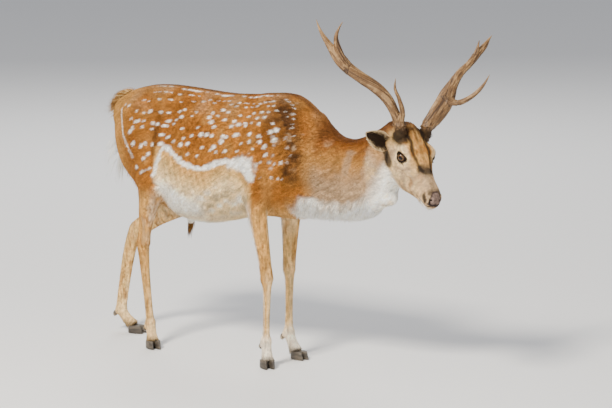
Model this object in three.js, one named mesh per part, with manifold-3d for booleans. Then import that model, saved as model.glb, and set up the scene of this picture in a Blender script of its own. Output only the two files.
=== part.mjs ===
// A fallow deer buck standing with its head lowered, life size.
// Millimetres, +X towards the nose, +Y to the animal's left, +Z up, soles on Z = 0.
// Every fleshy form is a loft: a closed cylinder whose rings are moved onto named stations.
// The flesh is joined, then parted into head, neck, trunk and legs by thin cuts.
import * as THREE from "three";
import { mergeVertices } from "three/addons/utils/BufferGeometryUtils.js";
import Module from "manifold-3d";

const wasm = await Module();
wasm.setup();

// ---------------------------------------------------------------- driving dimensions
const WITHERS = 905; // height of the withers, coat included
const GAP = 0.5; // clearance between neighbouring solids
const FINENESS = 1; // largest step a dropped corner may leave in the flesh
const CORONET = 27; // height where hair gives way to horn on each foot
const CENTRE = [240, 9]; // middle of the box in the working axes

// Trunk stations from rump to chest: x, top, bottom, half width, height of the widest line.
const TRUNK = [
  [-416, 826, 756, 34, 790],
  [-402, 850, 704, 72, 774],
  [-366, 868, 624, 102, 752],
  [-318, 882, 547, 125, 736],
  [-262, 893, 500, 137, 715],
  [-190, 898, 462, 143, 685],
  [-100, 897, 437, 149, 655],
  [-10, 893, 434, 151, 645],
  [80, 891, 452, 147, 650],
  [170, 896, 474, 137, 665],
  [250, WITHERS - 2, 486, 125, 675],
  [320, WITHERS, 492, 114, 675],
  [380, 885, 505, 100, 680],
  [425, 840, 545, 76, 690],
];
const TRUNK_ROUNDNESS = [1.85, 2.15]; // superellipse power above and below the widest line

// Neck stations from the shoulders to the skull: centre x, y, z, pitch, up, down, half width.
const NECK = [
  [250, 0, 690, 4, 178, 178, 96],
  [360, 0, 690, 2, 190, 192, 102],
  [440, 2, 672, -2, 174, 176, 99],
  [520, 4, 650, 2, 145, 150, 92],
  [600, 2, 652, 10, 132, 140, 84],
  [670, -2, 676, 18, 124, 130, 76],
  [735, -8, 716, 28, 114, 94, 69],
  [800, -16, 775, 34, 90, 80, 58],
];
const NECK_ROUNDNESS = [1.9, 2.1];
// Adam's apple, the bulge under the throat: centre x, y, z and its three half sizes.
const THROAT = [715, -2, 612, 62, 42, 40];

// Head frame: its origin at the back of the skull, local x towards the nose.
const HEAD = { at: [790, -6, 802], yaw: -25, pitch: -34, roll: -5 };
// Head stations along that axis: x, top, bottom, half width, height of the widest line.
const SKULL = [
  [-36, 30, -46, 34, -6],
  [-8, 56, -76, 50, -6],
  [32, 66, -102, 58, -6],
  [68, 66, -118, 60, -2],
  [104, 60, -119, 60, 6],
  [136, 49, -111, 53, 2],
  [166, 39, -97, 43, -8],
  [198, 30, -83, 35, -14],
  [232, 24, -70, 31, -16],
  [264, 20, -61, 31, -14],
  [288, 12, -54, 28, -15],
  [302, -3, -38, 19, -18],
];
const SKULL_ROUNDNESS = [2.3, 2.1];
const EYE = { at: [114, 49, 15], radius: 17 };
const BROW = { at: [102, 42, 31], size: [32, 20, 19], tilt: -18 };

// Ears: root in the head frame, where the tip points and which way the hollow faces,
// each as forward, outward and upward shares.
const EAR = { length: 132, width: 33, thickness: 9, root: [36, 50, -12] };
const EARS = {
  right: { side: -1, aim: [0.03, 0.88, 0.46], open: [0.87, -0.25, 0.43] },
  left: { side: 1, aim: [-0.82, 0.4, -0.4], open: [0.2, 0.9, 0.1] },
};

// Foreleg stations: place along the joints, front, back and side half sizes.
// Joints 0 to 4 are shoulder, elbow, knee, fetlock and coronet.
const FORELEG = [
  [0.0, 62, 60, 30],
  [0.5, 66, 62, 38],
  [1.0, 50, 52, 37],
  [1.35, 38, 36, 31],
  [1.7, 29, 26, 24],
  [1.92, 28, 22, 23],
  [2.06, 26, 21, 23],
  [2.25, 18, 19, 16],
  [2.6, 14, 17, 13.5],
  [2.88, 16, 19, 15],
  [3.02, 20, 23, 19.5],
  [3.45, 18, 20, 18.5],
  [4.0, 26, 22, 23],
];
// Hind leg stations. Joints 0 to 4 are hip, stifle, hock, fetlock and coronet.
const HINDLEG = [
  [0.0, 88, 80, 40],
  [0.45, 92, 80, 52],
  [0.85, 72, 76, 50],
  [1.1, 50, 64, 44],
  [1.45, 33, 47, 32],
  [1.72, 25, 44, 22],
  [1.9, 24, 50, 23],
  [2.1, 22, 31, 22],
  [2.35, 25, 25, 17],
  [2.65, 23, 23, 14],
  [2.9, 22, 22, 15.5],
  [3.02, 22, 23, 19],
  [3.45, 18, 20, 18.5],
  [4.0, 26, 22, 23],
];
// Each leg: the turn of its toes in degrees, the height where it is parted from the trunk,
// its joints as x, y, z and its hoof's middle.
const LEGS = {
  foreleg_right: {
    shape: FORELEG,
    toe: -32,
    cut: 512,
    joints: [[262, -84, 640], [260, -98, 520], [297, -94, 300], [292, -92, 88], [303, -98, CORONET]],
    hoof: [307, -103],
  },
  foreleg_left: {
    shape: FORELEG,
    toe: -6,
    cut: 512,
    joints: [[242, 84, 640], [240, 98, 515], [236, 94, 300], [238, 88, 88], [274, 80, CORONET]],
    hoof: [292, 77],
  },
  hindleg_right: {
    shape: HINDLEG,
    toe: -28,
    cut: 540,
    joints: [[-292, -74, 770], [-206, -110, 560], [-255, -92, 352], [-230, -86, 84], [-214, -94, CORONET]],
    hoof: [-205, -99],
  },
  hindleg_left: {
    shape: HINDLEG,
    toe: 12,
    cut: 540,
    joints: [[-290, 74, 740], [-232, 106, 500], [-454, 84, 362], [-510, 72, 80], [-452, 66, CORONET]],
    hoof: [-437, 68],
  },
};
const LEG_PULL = 0.22; // how softly a leg bends at its joints
const LEG_LOOK = 0.3; // how far along the joints a section looks for its tilt
const HOOF = { front: 34, back: 24, half: 11, spread: 12.5, rake: 10 };
const DEWCLAW = { size: [8, 7, 12], behind: 18, apart: 12, drop: 20 };

// Shoulder and haunch muscles over the trunk: centre, half sizes and pitch in degrees.
const MUSCLES = [
  { at: [262, 70, 690], size: [84, 55, 150], pitch: 14 },
  { at: [-276, 82, 700], size: [102, 56, 140], pitch: -10 },
];

// Tail: x, y, z of its middle line and its half thickness and half width.
const TAIL = [
  [-392, 0, 820, 16, 22],
  [-438, 0, 824, 20, 26],
  [-442, 0, 788, 16, 25],
  [-425, 0, 738, 13, 24],
  [-416, 0, 690, 11, 23],
  [-422, 0, 644, 10, 19],
  [-448, 0, 610, 8, 13],
  [-482, 0, 594, 3, 5],
];
// Brush of hair under the belly: x, y, z, half sizes.
const SHEATH = [
  [-110, 0, 458, 24, 16],
  [-122, 0, 432, 20, 12],
  [-132, 0, 405, 11, 8],
  [-138, 0, 378, 4, 3],
];

// Planes that part the flesh: a point and a normal towards the head.
const CHEST_CUT = { at: [392, 0, 700], normal: [1, 0, 0.18] };
const POLL_CUT = { at: [768, -8, 748], normal: [0.85, -0.3, 0.4] };

// Antlers: points as forward, outward and up from the pedicle, with the two half widths.
const PEDICLE = [50, 46, 52];
const ANTLERS = {
  right: {
    side: -1,
    beam: [
      [0, -6, -20, 15, 15],
      [0, -2, 22, 16, 16],
      [0, 2, 30, 20, 20],
      [-1, 8, 42, 16, 16],
      [-2, 19, 73, 14, 16],
      [-6, 42, 115, 14, 18],
      [-12, 78, 152, 13, 20],
      [-22, 126, 186, 12, 20],
      [-34, 166, 217, 12, 21],
      [-46, 192, 249, 11, 22],
      [-56, 219, 287, 9, 13],
      [-66, 246, 332, 5, 6],
      [-74, 260, 373, 1.5, 1.5],
    ],
    fork: { at: [-50, 200, 262], normal: [-0.1, 0.35, 0.93], name: "front_tip" },
    tines: [
      { name: "back_tip", path: [[-34, 166, 225, 9, 10], [-40, 194, 266, 9, 13], [-38, 207, 320, 6, 7], [-34, 185, 367, 1.5, 1.5]] },
      { name: "brow_tine", path: [[2, 0, 34, 12, 12], [24, 4, 74, 10, 9], [34, 20, 118, 7, 7], [36, 36, 153, 5, 5], [36, 34, 187, 1.5, 1.5]] },
    ],
  },
  left: {
    side: 1,
    beam: [
      [0, -2, -20, 15, 15],
      [0, 4, 20, 16, 17],
      [0, 8, 28, 20, 22],
      [-1, 20, 40, 16, 26],
      [-2, 36, 57, 14, 29],
      [-6, 65, 90, 13, 31],
      [-12, 88, 125, 12, 28],
      [-18, 107, 154, 11, 19],
      [-30, 140, 188, 10, 14],
      [-42, 181, 216, 9, 12],
      [-54, 215, 244, 8, 13],
      [-64, 246, 268, 6, 10],
      [-72, 264, 285, 4, 5],
      [-78, 280, 299, 1.5, 1.5],
    ],
    fork: { at: [-20, 112, 158], normal: [-0.1, 0.55, 0.83], name: "upper_beam" },
    tines: [
      { name: "front_tine", path: [[-4, 78, 108, 9, 18], [8, 110, 98, 9, 13], [22, 142, 111, 8, 9], [34, 171, 135, 7, 7], [42, 192, 162, 4.5, 4.5], [48, 206, 190, 1.5, 1.5]] },
    ],
    snag: [[-52, 204, 240, 7, 8], [-52, 215, 266, 5, 5], [-50, 219, 290, 1.5, 1.5]],
  },
};

const COLOURS = {
  coat: { color: 0xa9703a, roughness: 0.85, metalness: 0 },
  pale: { color: 0xcdb495, roughness: 0.85, metalness: 0 },
  horn: { color: 0x3a312c, roughness: 0.5, metalness: 0 },
  antler: { color: 0x8d745c, roughness: 0.65, metalness: 0 },
  eye: { color: 0x120c08, roughness: 0.08, metalness: 0 },
};

// ---------------------------------------------------------------- shape helpers
const rad = THREE.MathUtils.degToRad;

// A smooth row between stations, on every column of the table.
// Pull sets how far each station bends its neighbours' span: 0.5 is Catmull-Rom.
function blendRows(rows, u, pull = 0.5) {
  const i = Math.min(Math.floor(u), rows.length - 2);
  const t = u - i;
  const row = (k) => rows[Math.max(0, Math.min(rows.length - 1, k))];
  const [a, b, c, d] = [row(i - 1), row(i), row(i + 1), row(i + 2)];
  return b.map((_, k) => {
    const slopeIn = (c[k] - a[k]) * pull;
    const slopeOut = (d[k] - b[k]) * pull;
    const rise = c[k] - b[k];
    const bend = 3 * rise - 2 * slopeIn - slopeOut;
    return b[k] + t * (slopeIn + t * (bend + t * (slopeIn + slopeOut - 2 * rise)));
  });
}

// One corner of a superellipse section: how far sideways and how far up.
function section(angle, half, up, down, [above, below] = [2, 2]) {
  const c = Math.cos(angle);
  const s = Math.sin(angle);
  const power = 2 / (s > 0 ? above : below);
  const bend = (v) => Math.sign(v) * Math.abs(v) ** power;
  return [half * bend(c), (s > 0 ? up : down) * bend(s)];
}

// A closed geometry as a manifold solid, turned outwards if its faces ran the other way.
function solid(geometry) {
  const vertProperties = new Float32Array(geometry.getAttribute("position").array);
  const triVerts = new Uint32Array(geometry.index.array);
  const make = () => new wasm.Manifold(new wasm.Mesh({ numProp: 3, vertProperties, triVerts }));
  const made = make();
  if (made.volume() > 0) return made;
  for (let i = 0; i < triVerts.length; i += 3) {
    [triVerts[i + 1], triVerts[i + 2]] = [triVerts[i + 2], triVerts[i + 1]];
  }
  return make();
}

// A closed solid whose ring at share t of its length is placed by ring(t, angle).
function loft(sides, steps, ring, middle) {
  const cylinder = new THREE.CylinderGeometry(1, 1, 1, sides, steps);
  cylinder.deleteAttribute("normal");
  cylinder.deleteAttribute("uv");
  const shape = mergeVertices(cylinder);
  const place = shape.getAttribute("position");
  for (let i = 0; i < place.count; i++) {
    const t = 0.5 - place.getY(i);
    const onAxis = Math.hypot(place.getX(i), place.getZ(i)) < 0.5;
    const p = onAxis ? middle(t) : ring(t, Math.atan2(place.getZ(i), place.getX(i)));
    place.setXYZ(i, ...p);
  }
  return solid(shape);
}

// An ellipsoid with half sizes, pitched about Y.
function ellipsoid(at, size, pitch = 0, sides = 12) {
  const ball = new THREE.SphereGeometry(1, sides, Math.round(sides * 0.7));
  ball.scale(...size);
  ball.rotateY(rad(pitch));
  ball.translate(...at);
  ball.deleteAttribute("normal");
  ball.deleteAttribute("uv");
  return solid(mergeVertices(ball, 1e-3));
}

// A body form with upright sections across X, as the trunk and the skull have.
function uprightLoft(rows, sides, steps, powers, grow = 0) {
  const last = rows.length - 1;
  const ring = (t, angle) => {
    const [x, top, bottom, half, mid] = blendRows(rows, t * last);
    const [y, z] = section(angle, half + grow, top - mid + grow, mid - bottom + grow, powers);
    return [x + grow * (2 * t - 1), y, mid + z];
  };
  const middle = (t) => {
    const [x, , , , mid] = blendRows(rows, t * last);
    return [x + grow * (2 * t - 1), 0, mid];
  };
  return loft(sides, steps, ring, middle);
}

// A tube with elliptical sections square to its path; rows hold x, y, z and two half widths.
function tube(rows, sides, steps) {
  const last = rows.length - 1;
  const at = (u) => new THREE.Vector3(...blendRows(rows, u));
  const acrossAll = new THREE.Vector3(0, 1, 0);
  const ring = (t, angle) => {
    const u = t * last;
    const along = at(Math.min(last, u + 0.05)).sub(at(Math.max(0, u - 0.05))).normalize();
    const normal = new THREE.Vector3().crossVectors(acrossAll, along).normalize();
    const side = new THREE.Vector3().crossVectors(along, normal);
    const [, , , thick, wide] = blendRows(rows, u);
    normal.multiplyScalar(thick * Math.sin(angle));
    side.multiplyScalar(wide * Math.cos(angle));
    return at(u).add(normal).add(side).toArray();
  };
  return loft(sides, steps, ring, (t) => at(t * last).toArray());
}

// The neck: sections square to a line that pitches as it runs forward.
function neckLoft(grow = 0) {
  const last = NECK.length - 1;
  const ring = (t, angle) => {
    const [x, y, z, pitch, up, down, half] = blendRows(NECK, t * last);
    const [side, rise] = section(angle, half + grow, up + grow, down + grow, NECK_ROUNDNESS);
    return [x - rise * Math.sin(rad(pitch)), y + side, z + rise * Math.cos(rad(pitch))];
  };
  return loft(20, 12, ring, (t) => blendRows(NECK, t * last).slice(0, 3));
}

// A leg: sections square to the line through its joints, turned by the toe angle.
function legLoft({ shape, joints, toe }, grow = 0) {
  const at = (u) => new THREE.Vector3(...blendRows(joints, u, LEG_PULL));
  const last = shape.length - 1;
  const outward = new THREE.Vector3(-Math.sin(rad(toe)), Math.cos(rad(toe)), 0);
  const ring = (t, angle) => {
    const [u, front, back, half] = blendRows(shape, t * last);
    const down = at(Math.min(4, u + LEG_LOOK)).sub(at(Math.max(0, u - LEG_LOOK))).normalize();
    const fore = new THREE.Vector3().crossVectors(outward, down).normalize();
    const [side, reach] = section(angle, half + grow, front + grow, back + grow);
    return at(u).addScaledVector(outward, side).addScaledVector(fore, reach).toArray();
  };
  return loft(10, 18, ring, (t) => at(blendRows(shape, t * last)[0]).toArray());
}

// Turns a direction given along and across a toe into the animal's axes.
function alongToe([x, y], toe, forward, across) {
  const c = Math.cos(rad(toe));
  const s = Math.sin(rad(toe));
  return [x + forward * c - across * s, y + forward * s + across * c];
}

// One claw of a cloven hoof: a wedge with a pointed toe and a flat sole.
function claw({ hoof, toe }, side) {
  const rows = [
    [0, HOOF.front, HOOF.back, HOOF.half],
    [CORONET * 0.5, HOOF.front - HOOF.rake * 0.5, HOOF.back, HOOF.half + 0.5],
    [CORONET - GAP, HOOF.front - HOOF.rake, HOOF.back - 2, HOOF.half],
  ];
  const ring = (t, angle) => {
    const [z, front, back, half] = blendRows(rows, t * 2);
    const [across, reach] = section(angle, half, front, back, [1.5, 2.4]);
    return [reach, across + side * HOOF.spread, z];
  };
  const made = loft(12, 2, ring, (t) => [0, side * HOOF.spread, blendRows(rows, t * 2)[0]]);
  return made.rotate([0, 0, toe]).translate([...hoof, 0]);
}

// One dewclaw, half sunk in the back of the fetlock.
function dewclaw({ joints, toe }, side, grow = 0) {
  const fetlock = joints[3];
  const place = alongToe(fetlock, toe, -DEWCLAW.behind, side * DEWCLAW.apart);
  const size = DEWCLAW.size.map((half) => half + grow);
  const made = ellipsoid([0, 0, 0], size, 20, 8);
  return made.rotate([0, 0, toe]).translate([...place, fetlock[2] - DEWCLAW.drop]);
}

// Moves a solid from the head's frame to the animal's.
function fromHead(part) {
  const { at, yaw, pitch, roll } = HEAD;
  return part.rotate([roll, 0, 0]).rotate([0, -pitch, 0]).rotate([0, 0, yaw]).translate(at);
}

// A point of the head's frame, in the animal's.
function headPoint(v) {
  return new THREE.Vector3(...v)
    .applyAxisAngle(new THREE.Vector3(1, 0, 0), rad(HEAD.roll))
    .applyAxisAngle(new THREE.Vector3(0, 1, 0), rad(-HEAD.pitch))
    .applyAxisAngle(new THREE.Vector3(0, 0, 1), rad(HEAD.yaw))
    .add(new THREE.Vector3(...HEAD.at));
}

// Skull and brow ridges in the animal's frame.
function headForms(grow = 0) {
  const skull = uprightLoft(SKULL, 18, 14, SKULL_ROUNDNESS, grow);
  const size = BROW.size.map((half) => half + grow);
  const brows = [-1, 1].map((side) => {
    return ellipsoid([BROW.at[0], side * BROW.at[1], BROW.at[2]], size, BROW.tilt, 10);
  });
  return fromHead(skull.add(brows[0]).add(brows[1]));
}

// An eyeball.
function eyeball(side, grow = 0) {
  const at = [EYE.at[0], side * EYE.at[1], EYE.at[2]];
  return fromHead(ellipsoid(at, Array(3).fill(EYE.radius + grow), 0, 10));
}

// An ear in the head's frame: a leaf, hollowed on the side it opens to.
// Its rows are shares of length, width, hollow and thickness.
const EAR_ROWS = [
  [-0.12, 0.34, 0.0, 1.3],
  [0.08, 0.5, 0.1, 1.2],
  [0.3, 0.88, 0.32, 1.0],
  [0.55, 1.0, 0.32, 0.9],
  [0.8, 0.68, 0.2, 0.8],
  [0.95, 0.32, 0.08, 0.7],
  [1.0, 0.08, 0.0, 0.5],
];
function ear({ side, aim, open }) {
  const along = new THREE.Vector3(aim[0], side * aim[1], aim[2]).normalize();
  const face = new THREE.Vector3(open[0], side * open[1], open[2]);
  face.addScaledVector(along, -face.dot(along)).normalize();
  const across = new THREE.Vector3().crossVectors(along, face);
  const root = new THREE.Vector3(EAR.root[0], side * EAR.root[1], EAR.root[2]);
  const at = (t, angle, edge) => {
    const [share, wide, cup, thick] = blendRows(EAR_ROWS, t * (EAR_ROWS.length - 1));
    const c = Math.cos(angle) * edge;
    const lift = cup * EAR.width * c * c + 0.5 * thick * EAR.thickness * Math.sin(angle) * edge;
    return root
      .clone()
      .addScaledVector(along, share * EAR.length)
      .addScaledVector(across, wide * EAR.width * c)
      .addScaledVector(face, lift)
      .toArray();
  };
  return fromHead(loft(12, 9, (t, angle) => at(t, angle, 1), (t) => at(t, 0, 0)));
}

// Antlers stand on pedicles set by the skull, but keep upright axes of their own.
function antlerPart(rows, side, sides, steps, grow = 0) {
  const pedicle = headPoint([PEDICLE[0], side * PEDICLE[1], PEDICLE[2]]);
  const grown = rows.map(([f, o, u, a, b]) => [f, side * o, u, a + grow, b + grow]);
  return tube(grown, sides, steps).rotate([0, 0, HEAD.yaw]).translate(pedicle.toArray());
}

// The same axes for a plane that parts an antler.
function antlerPlane({ at, normal }, side) {
  const turn = new THREE.Vector3(0, 0, 1);
  const place = (v) => new THREE.Vector3(v[0], side * v[1], v[2]).applyAxisAngle(turn, rad(HEAD.yaw));
  const pedicle = headPoint([PEDICLE[0], side * PEDICLE[1], PEDICLE[2]]);
  return { at: place(at).add(pedicle).toArray(), normal: place(normal).toArray() };
}

// Both halves of a solid at a plane, a thin gap apart.
function parted(whole, { at, normal }) {
  const n = new THREE.Vector3(...normal).normalize();
  const offset = n.dot(new THREE.Vector3(...at));
  return [
    whole.trimByPlane(n.clone().negate().toArray(), -offset + GAP / 2),
    whole.trimByPlane(n.toArray(), offset + GAP / 2),
  ];
}

// The largest connected body, with any sliver left by a cut dropped.
function largest(whole) {
  return whole.decompose().sort((a, b) => b.volume() - a.volume())[0];
}

// ---------------------------------------------------------------- parts
const group = new THREE.Group();
group.name = "fallow_deer";

// Adds a manifold solid to the group as a named mesh.
function add(name, part, colour) {
  const { vertProperties, triVerts } = part.getMesh();
  const geometry = new THREE.BufferGeometry();
  geometry.setAttribute("position", new THREE.BufferAttribute(new Float32Array(vertProperties), 3));
  geometry.setIndex(new THREE.BufferAttribute(new Uint32Array(triVerts), 1));
  geometry.computeVertexNormals();
  const mesh = new THREE.Mesh(geometry, new THREE.MeshStandardMaterial(COLOURS[colour]));
  mesh.name = name;
  mesh.position.set(-CENTRE[0], -CENTRE[1], 0);
  group.add(mesh);
}

// The antlers: a beam parted at its fork, and tines seated against it.
function antlers() {
  const nodes = [];
  for (const [name, { side, beam, fork, tines, snag }] of Object.entries(ANTLERS)) {
    let whole = antlerPart(beam, side, 10, 18);
    if (snag) whole = whole.add(antlerPart(snag, side, 8, 5));
    const [lower, upper] = parted(whole, antlerPlane(fork, side));
    nodes.push([`antler_${name}_beam`, largest(lower)]);
    nodes.push([`antler_${name}_${fork.name}`, largest(upper)]);
    const seat = antlerPart(beam, side, 10, 18, GAP);
    for (const tine of tines) {
      const piece = antlerPart(tine.path, side, 8, 8).subtract(seat);
      nodes.push([`antler_${name}_${tine.name}`, largest(piece)]);
    }
  }
  return nodes;
}

// Everything set into the flesh, made a little larger to cut its seat.
function seats() {
  const cuts = [tube(TAIL.map((row) => [...row.slice(0, 3), row[3] + GAP, row[4] + GAP]), 10, 10)];
  for (const side of [-1, 1]) cuts.push(eyeball(side, GAP));
  for (const { side, beam } of Object.values(ANTLERS)) cuts.push(antlerPart(beam, side, 10, 18, GAP));
  const brow = ANTLERS.right.tines.find((tine) => tine.name === "brow_tine");
  cuts.push(antlerPart(brow.path, ANTLERS.right.side, 8, 8, GAP));
  return cuts;
}

// Head, neck and trunk joined with the upper part of each leg.
function body() {
  let flesh = uprightLoft(TRUNK, 20, 18, TRUNK_ROUNDNESS).add(neckLoft()).add(headForms());
  flesh = flesh.add(ellipsoid(THROAT.slice(0, 3), THROAT.slice(3), 30)).add(tube(SHEATH, 8, 4));
  for (const { at, size, pitch } of MUSCLES) {
    for (const side of [-1, 1]) flesh = flesh.add(ellipsoid([at[0], side * at[1], at[2]], size, pitch));
  }
  for (const leg of Object.values(LEGS)) {
    flesh = flesh.add(legLoft(leg).trimByPlane([0, 0, 1], leg.cut - 2));
  }
  flesh = flesh.simplify(FINENESS);
  for (const leg of Object.values(LEGS)) {
    flesh = flesh.subtract(legLoft(leg, GAP).trimByPlane([0, 0, -1], -leg.cut));
  }
  for (const seat of seats()) flesh = flesh.subtract(seat);
  return flesh;
}

// A leg below its cut, with seats for its dewclaws.
function lowerLeg(leg) {
  let made = legLoft(leg).trimByPlane([0, 0, -1], GAP - leg.cut).trimByPlane([0, 0, 1], CORONET);
  for (const side of [-1, 1]) made = made.subtract(dewclaw(leg, side, GAP));
  return largest(made);
}

const flesh = body();
const [trunk, front] = parted(flesh, CHEST_CUT);
const [neck, head] = parted(front, POLL_CUT);
add("trunk", largest(trunk), "coat");
add("neck", largest(neck), "coat");
add("head", largest(head), "coat");
add("tail", tube(TAIL, 10, 10), "pale");
for (const [name, leg] of Object.entries(LEGS)) {
  add(name, lowerLeg(leg), "coat");
  for (const [place, side] of [["right", -1], ["left", 1]]) {
    add(`claw_${name}_${place}`, claw(leg, side), "horn");
    add(`dewclaw_${name}_${place}`, dewclaw(leg, side), "horn");
  }
}
for (const [name, spec] of Object.entries(EARS)) {
  const rest = ear(spec).subtract(headForms(GAP)).subtract(neckLoft(GAP));
  add(`ear_${name}`, largest(rest), "coat");
  add(`eye_${name}`, eyeball(spec.side), "eye");
}
for (const [name, piece] of antlers()) add(name, piece, "antler");

export default group;
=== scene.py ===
"""A fallow deer buck, life size: one skin with its coat, eyes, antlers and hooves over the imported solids.

Forms and markings are worked out in the animal's own axes, in millimetres: +X towards the nose, +Y to
its left, +Z up, soles on Z = 0. in_frame() turns them into the frame's metres.
"""

import math

import bmesh
import bpy
import numpy as np
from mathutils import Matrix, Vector


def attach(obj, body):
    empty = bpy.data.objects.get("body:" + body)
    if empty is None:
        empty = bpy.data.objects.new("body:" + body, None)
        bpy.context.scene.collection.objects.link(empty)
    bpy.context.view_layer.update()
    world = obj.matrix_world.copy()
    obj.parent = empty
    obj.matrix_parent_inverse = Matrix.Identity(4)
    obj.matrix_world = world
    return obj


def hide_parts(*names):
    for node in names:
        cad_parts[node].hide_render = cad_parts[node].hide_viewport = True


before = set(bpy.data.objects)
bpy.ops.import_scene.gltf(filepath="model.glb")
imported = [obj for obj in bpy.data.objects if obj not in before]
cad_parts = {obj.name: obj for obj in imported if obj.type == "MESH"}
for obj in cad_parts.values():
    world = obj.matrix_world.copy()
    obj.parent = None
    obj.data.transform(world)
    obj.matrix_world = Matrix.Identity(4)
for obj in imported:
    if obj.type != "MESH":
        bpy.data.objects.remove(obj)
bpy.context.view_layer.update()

CENTRE = np.array([240.0, 9.0, 0.0])  # middle of the frame's box in the animal's axes
RIGHT, LEFT = -1, 1
WORDS = {RIGHT: "right", LEFT: "left"}

# ---------------------------------------------------------------- the animal's measures
# Trunk stations: x, top, bottom, half width, height of the widest line.
TRUNK = [
    [-416, 826, 756, 34, 790], [-402, 850, 704, 72, 774], [-366, 868, 624, 102, 752],
    [-318, 882, 547, 125, 736], [-262, 893, 500, 137, 715], [-190, 898, 462, 143, 685],
    [-100, 897, 437, 149, 655], [-10, 893, 434, 151, 645], [80, 891, 452, 147, 650],
    [170, 896, 474, 137, 665], [250, 903, 486, 125, 675], [320, 905, 492, 114, 675],
    [380, 885, 505, 100, 680], [425, 840, 545, 76, 690],
]
TRUNK_POWERS = [1.85, 2.15]  # how full its sections are above and below the widest line
# Neck stations: centre x, y, z, pitch, up, down, half width.
NECK = [
    [250, 0, 690, 4, 178, 178, 96], [360, 0, 690, 2, 190, 192, 102], [440, 2, 672, -2, 174, 176, 99],
    [520, 4, 650, 2, 145, 150, 92], [600, 2, 652, 10, 132, 140, 84], [670, -2, 676, 18, 124, 130, 76],
    [735, -8, 716, 28, 114, 94, 69], [800, -16, 775, 34, 90, 80, 58],
]
THROAT = {"at": [715, -2, 612], "size": [62, 42, 40], "pitch": 30}
# The head's frame: origin at the back of the skull, local x towards the nose.
HEAD_AT = np.array([790.0, -6.0, 802.0])
HEAD_YAW, HEAD_PITCH, HEAD_ROLL = -25, -34, -5
HEAD_FROM, SKULL_FROM = 690, 700  # no part of the head or of its skull lies behind these places
# Skull stations along it: x, top, bottom, half width, height of the widest line.
SKULL = [
    [-36, 30, -46, 34, -6], [-8, 56, -76, 50, -6], [32, 66, -102, 58, -6], [68, 66, -118, 60, -2],
    [104, 60, -119, 60, 6], [136, 49, -111, 53, 2], [166, 39, -97, 43, -8], [198, 30, -83, 35, -14],
    [232, 24, -70, 31, -16], [264, 20, -61, 31, -14], [288, 12, -54, 28, -15], [302, -3, -38, 19, -18],
]
EYE_AT, EYE_RADIUS = [114, 49, 15], 17
BROW = {"at": [102, 42, 31], "size": [32, 20, 19], "pitch": -18}
# Leg stations: place along the joints, front, back and side half sizes.
FORELEG = [
    [0.0, 62, 60, 30], [0.5, 66, 62, 38], [1.0, 50, 52, 37], [1.35, 38, 36, 31], [1.7, 29, 26, 24],
    [1.92, 28, 22, 23], [2.06, 26, 21, 23], [2.25, 18, 19, 16], [2.6, 14, 17, 13.5], [2.88, 16, 19, 15],
    [3.02, 20, 23, 19.5], [3.45, 18, 20, 18.5], [4.0, 26, 22, 23],
]
HINDLEG = [
    [0.0, 88, 80, 40], [0.45, 92, 80, 52], [0.85, 72, 76, 50], [1.1, 50, 64, 44], [1.45, 33, 47, 32],
    [1.72, 25, 44, 22], [1.9, 24, 50, 23], [2.1, 22, 31, 22], [2.35, 25, 25, 17], [2.65, 23, 23, 14],
    [2.9, 22, 22, 15.5], [3.02, 22, 23, 19], [3.45, 18, 20, 18.5], [4.0, 26, 22, 23],
]
CORONET = 27
# Each leg: its stations, its toe's turn, its joints from the body down, and its hoof's middle.
LEGS = {
    "foreleg_right": (
        FORELEG, -32, [[262, -84, 640], [260, -98, 520], [297, -94, 300], [292, -92, 88], [303, -98, CORONET]],
        [307, -103],
    ),
    "foreleg_left": (
        FORELEG, -6, [[242, 84, 640], [240, 98, 515], [236, 94, 300], [238, 88, 88], [274, 80, CORONET]],
        [292, 77],
    ),
    "hindleg_right": (
        HINDLEG, -28,
        [[-292, -74, 770], [-206, -110, 560], [-255, -92, 352], [-230, -86, 84], [-214, -94, CORONET]],
        [-205, -99],
    ),
    "hindleg_left": (
        HINDLEG, 12, [[-290, 74, 740], [-232, 106, 500], [-454, 84, 362], [-510, 72, 80], [-452, 66, CORONET]],
        [-437, 68],
    ),
}
LEG_PULL, LEG_LOOK = 0.22, 0.3  # how round the joints are, and how far the leg's direction looks ahead
MUSCLES = [
    {"at": [262, 70, 690], "size": [84, 55, 150], "pitch": 14},
    {"at": [-276, 82, 700], "size": [102, 56, 140], "pitch": -10},
]
TAIL = [[-392, 0, 812, 14], [-420, 0, 808, 13], [-432, 0, 780, 12], [-424, 0, 735, 10], [-416, 0, 690, 9]]
TAIL += [[-421, 0, 655, 7], [-432, 0, 632, 4]]
SHEATH = [[-104, 0, 462, 17], [-118, 0, 438, 12], [-126, 0, 424, 6]]
# In the head frame, x, y, z and radius.
EAR_ROOTS = {RIGHT: [[30, -44, -14, 20], [33, -62, 4, 15]], LEFT: [[30, 44, -14, 20], [24, 60, -8, 15]]}
PEDICLES = [[46, 38, 34, 24], [50, 46, 56, 17]]
NOSTRIL = {"at": [291, 14.5, -9], "size": [9, 5, 4.5], "pitch": -35}
LID = 3.2  # thickness of the lids over the eyeball
OPENING = [20.5, 13.6]  # half length and half height between the lids
DEWCLAW = {"size": [8, 7, 12], "behind": 18, "apart": 12, "drop": 20}
# Depth of the coat over each form, taken off it to leave the skin. On the legs it is given along the joints.
BODY_COAT, HEAD_COAT = 8, 3
LEG_COAT = [[0, 7], [1, 5.5], [1.9, 3], [4, 2.5]]


# ---------------------------------------------------------------- numbers
def in_frame(points):
    """The animal's millimetres as the frame's metres."""
    return (np.asarray(points, float) - CENTRE) / 1000


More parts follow.
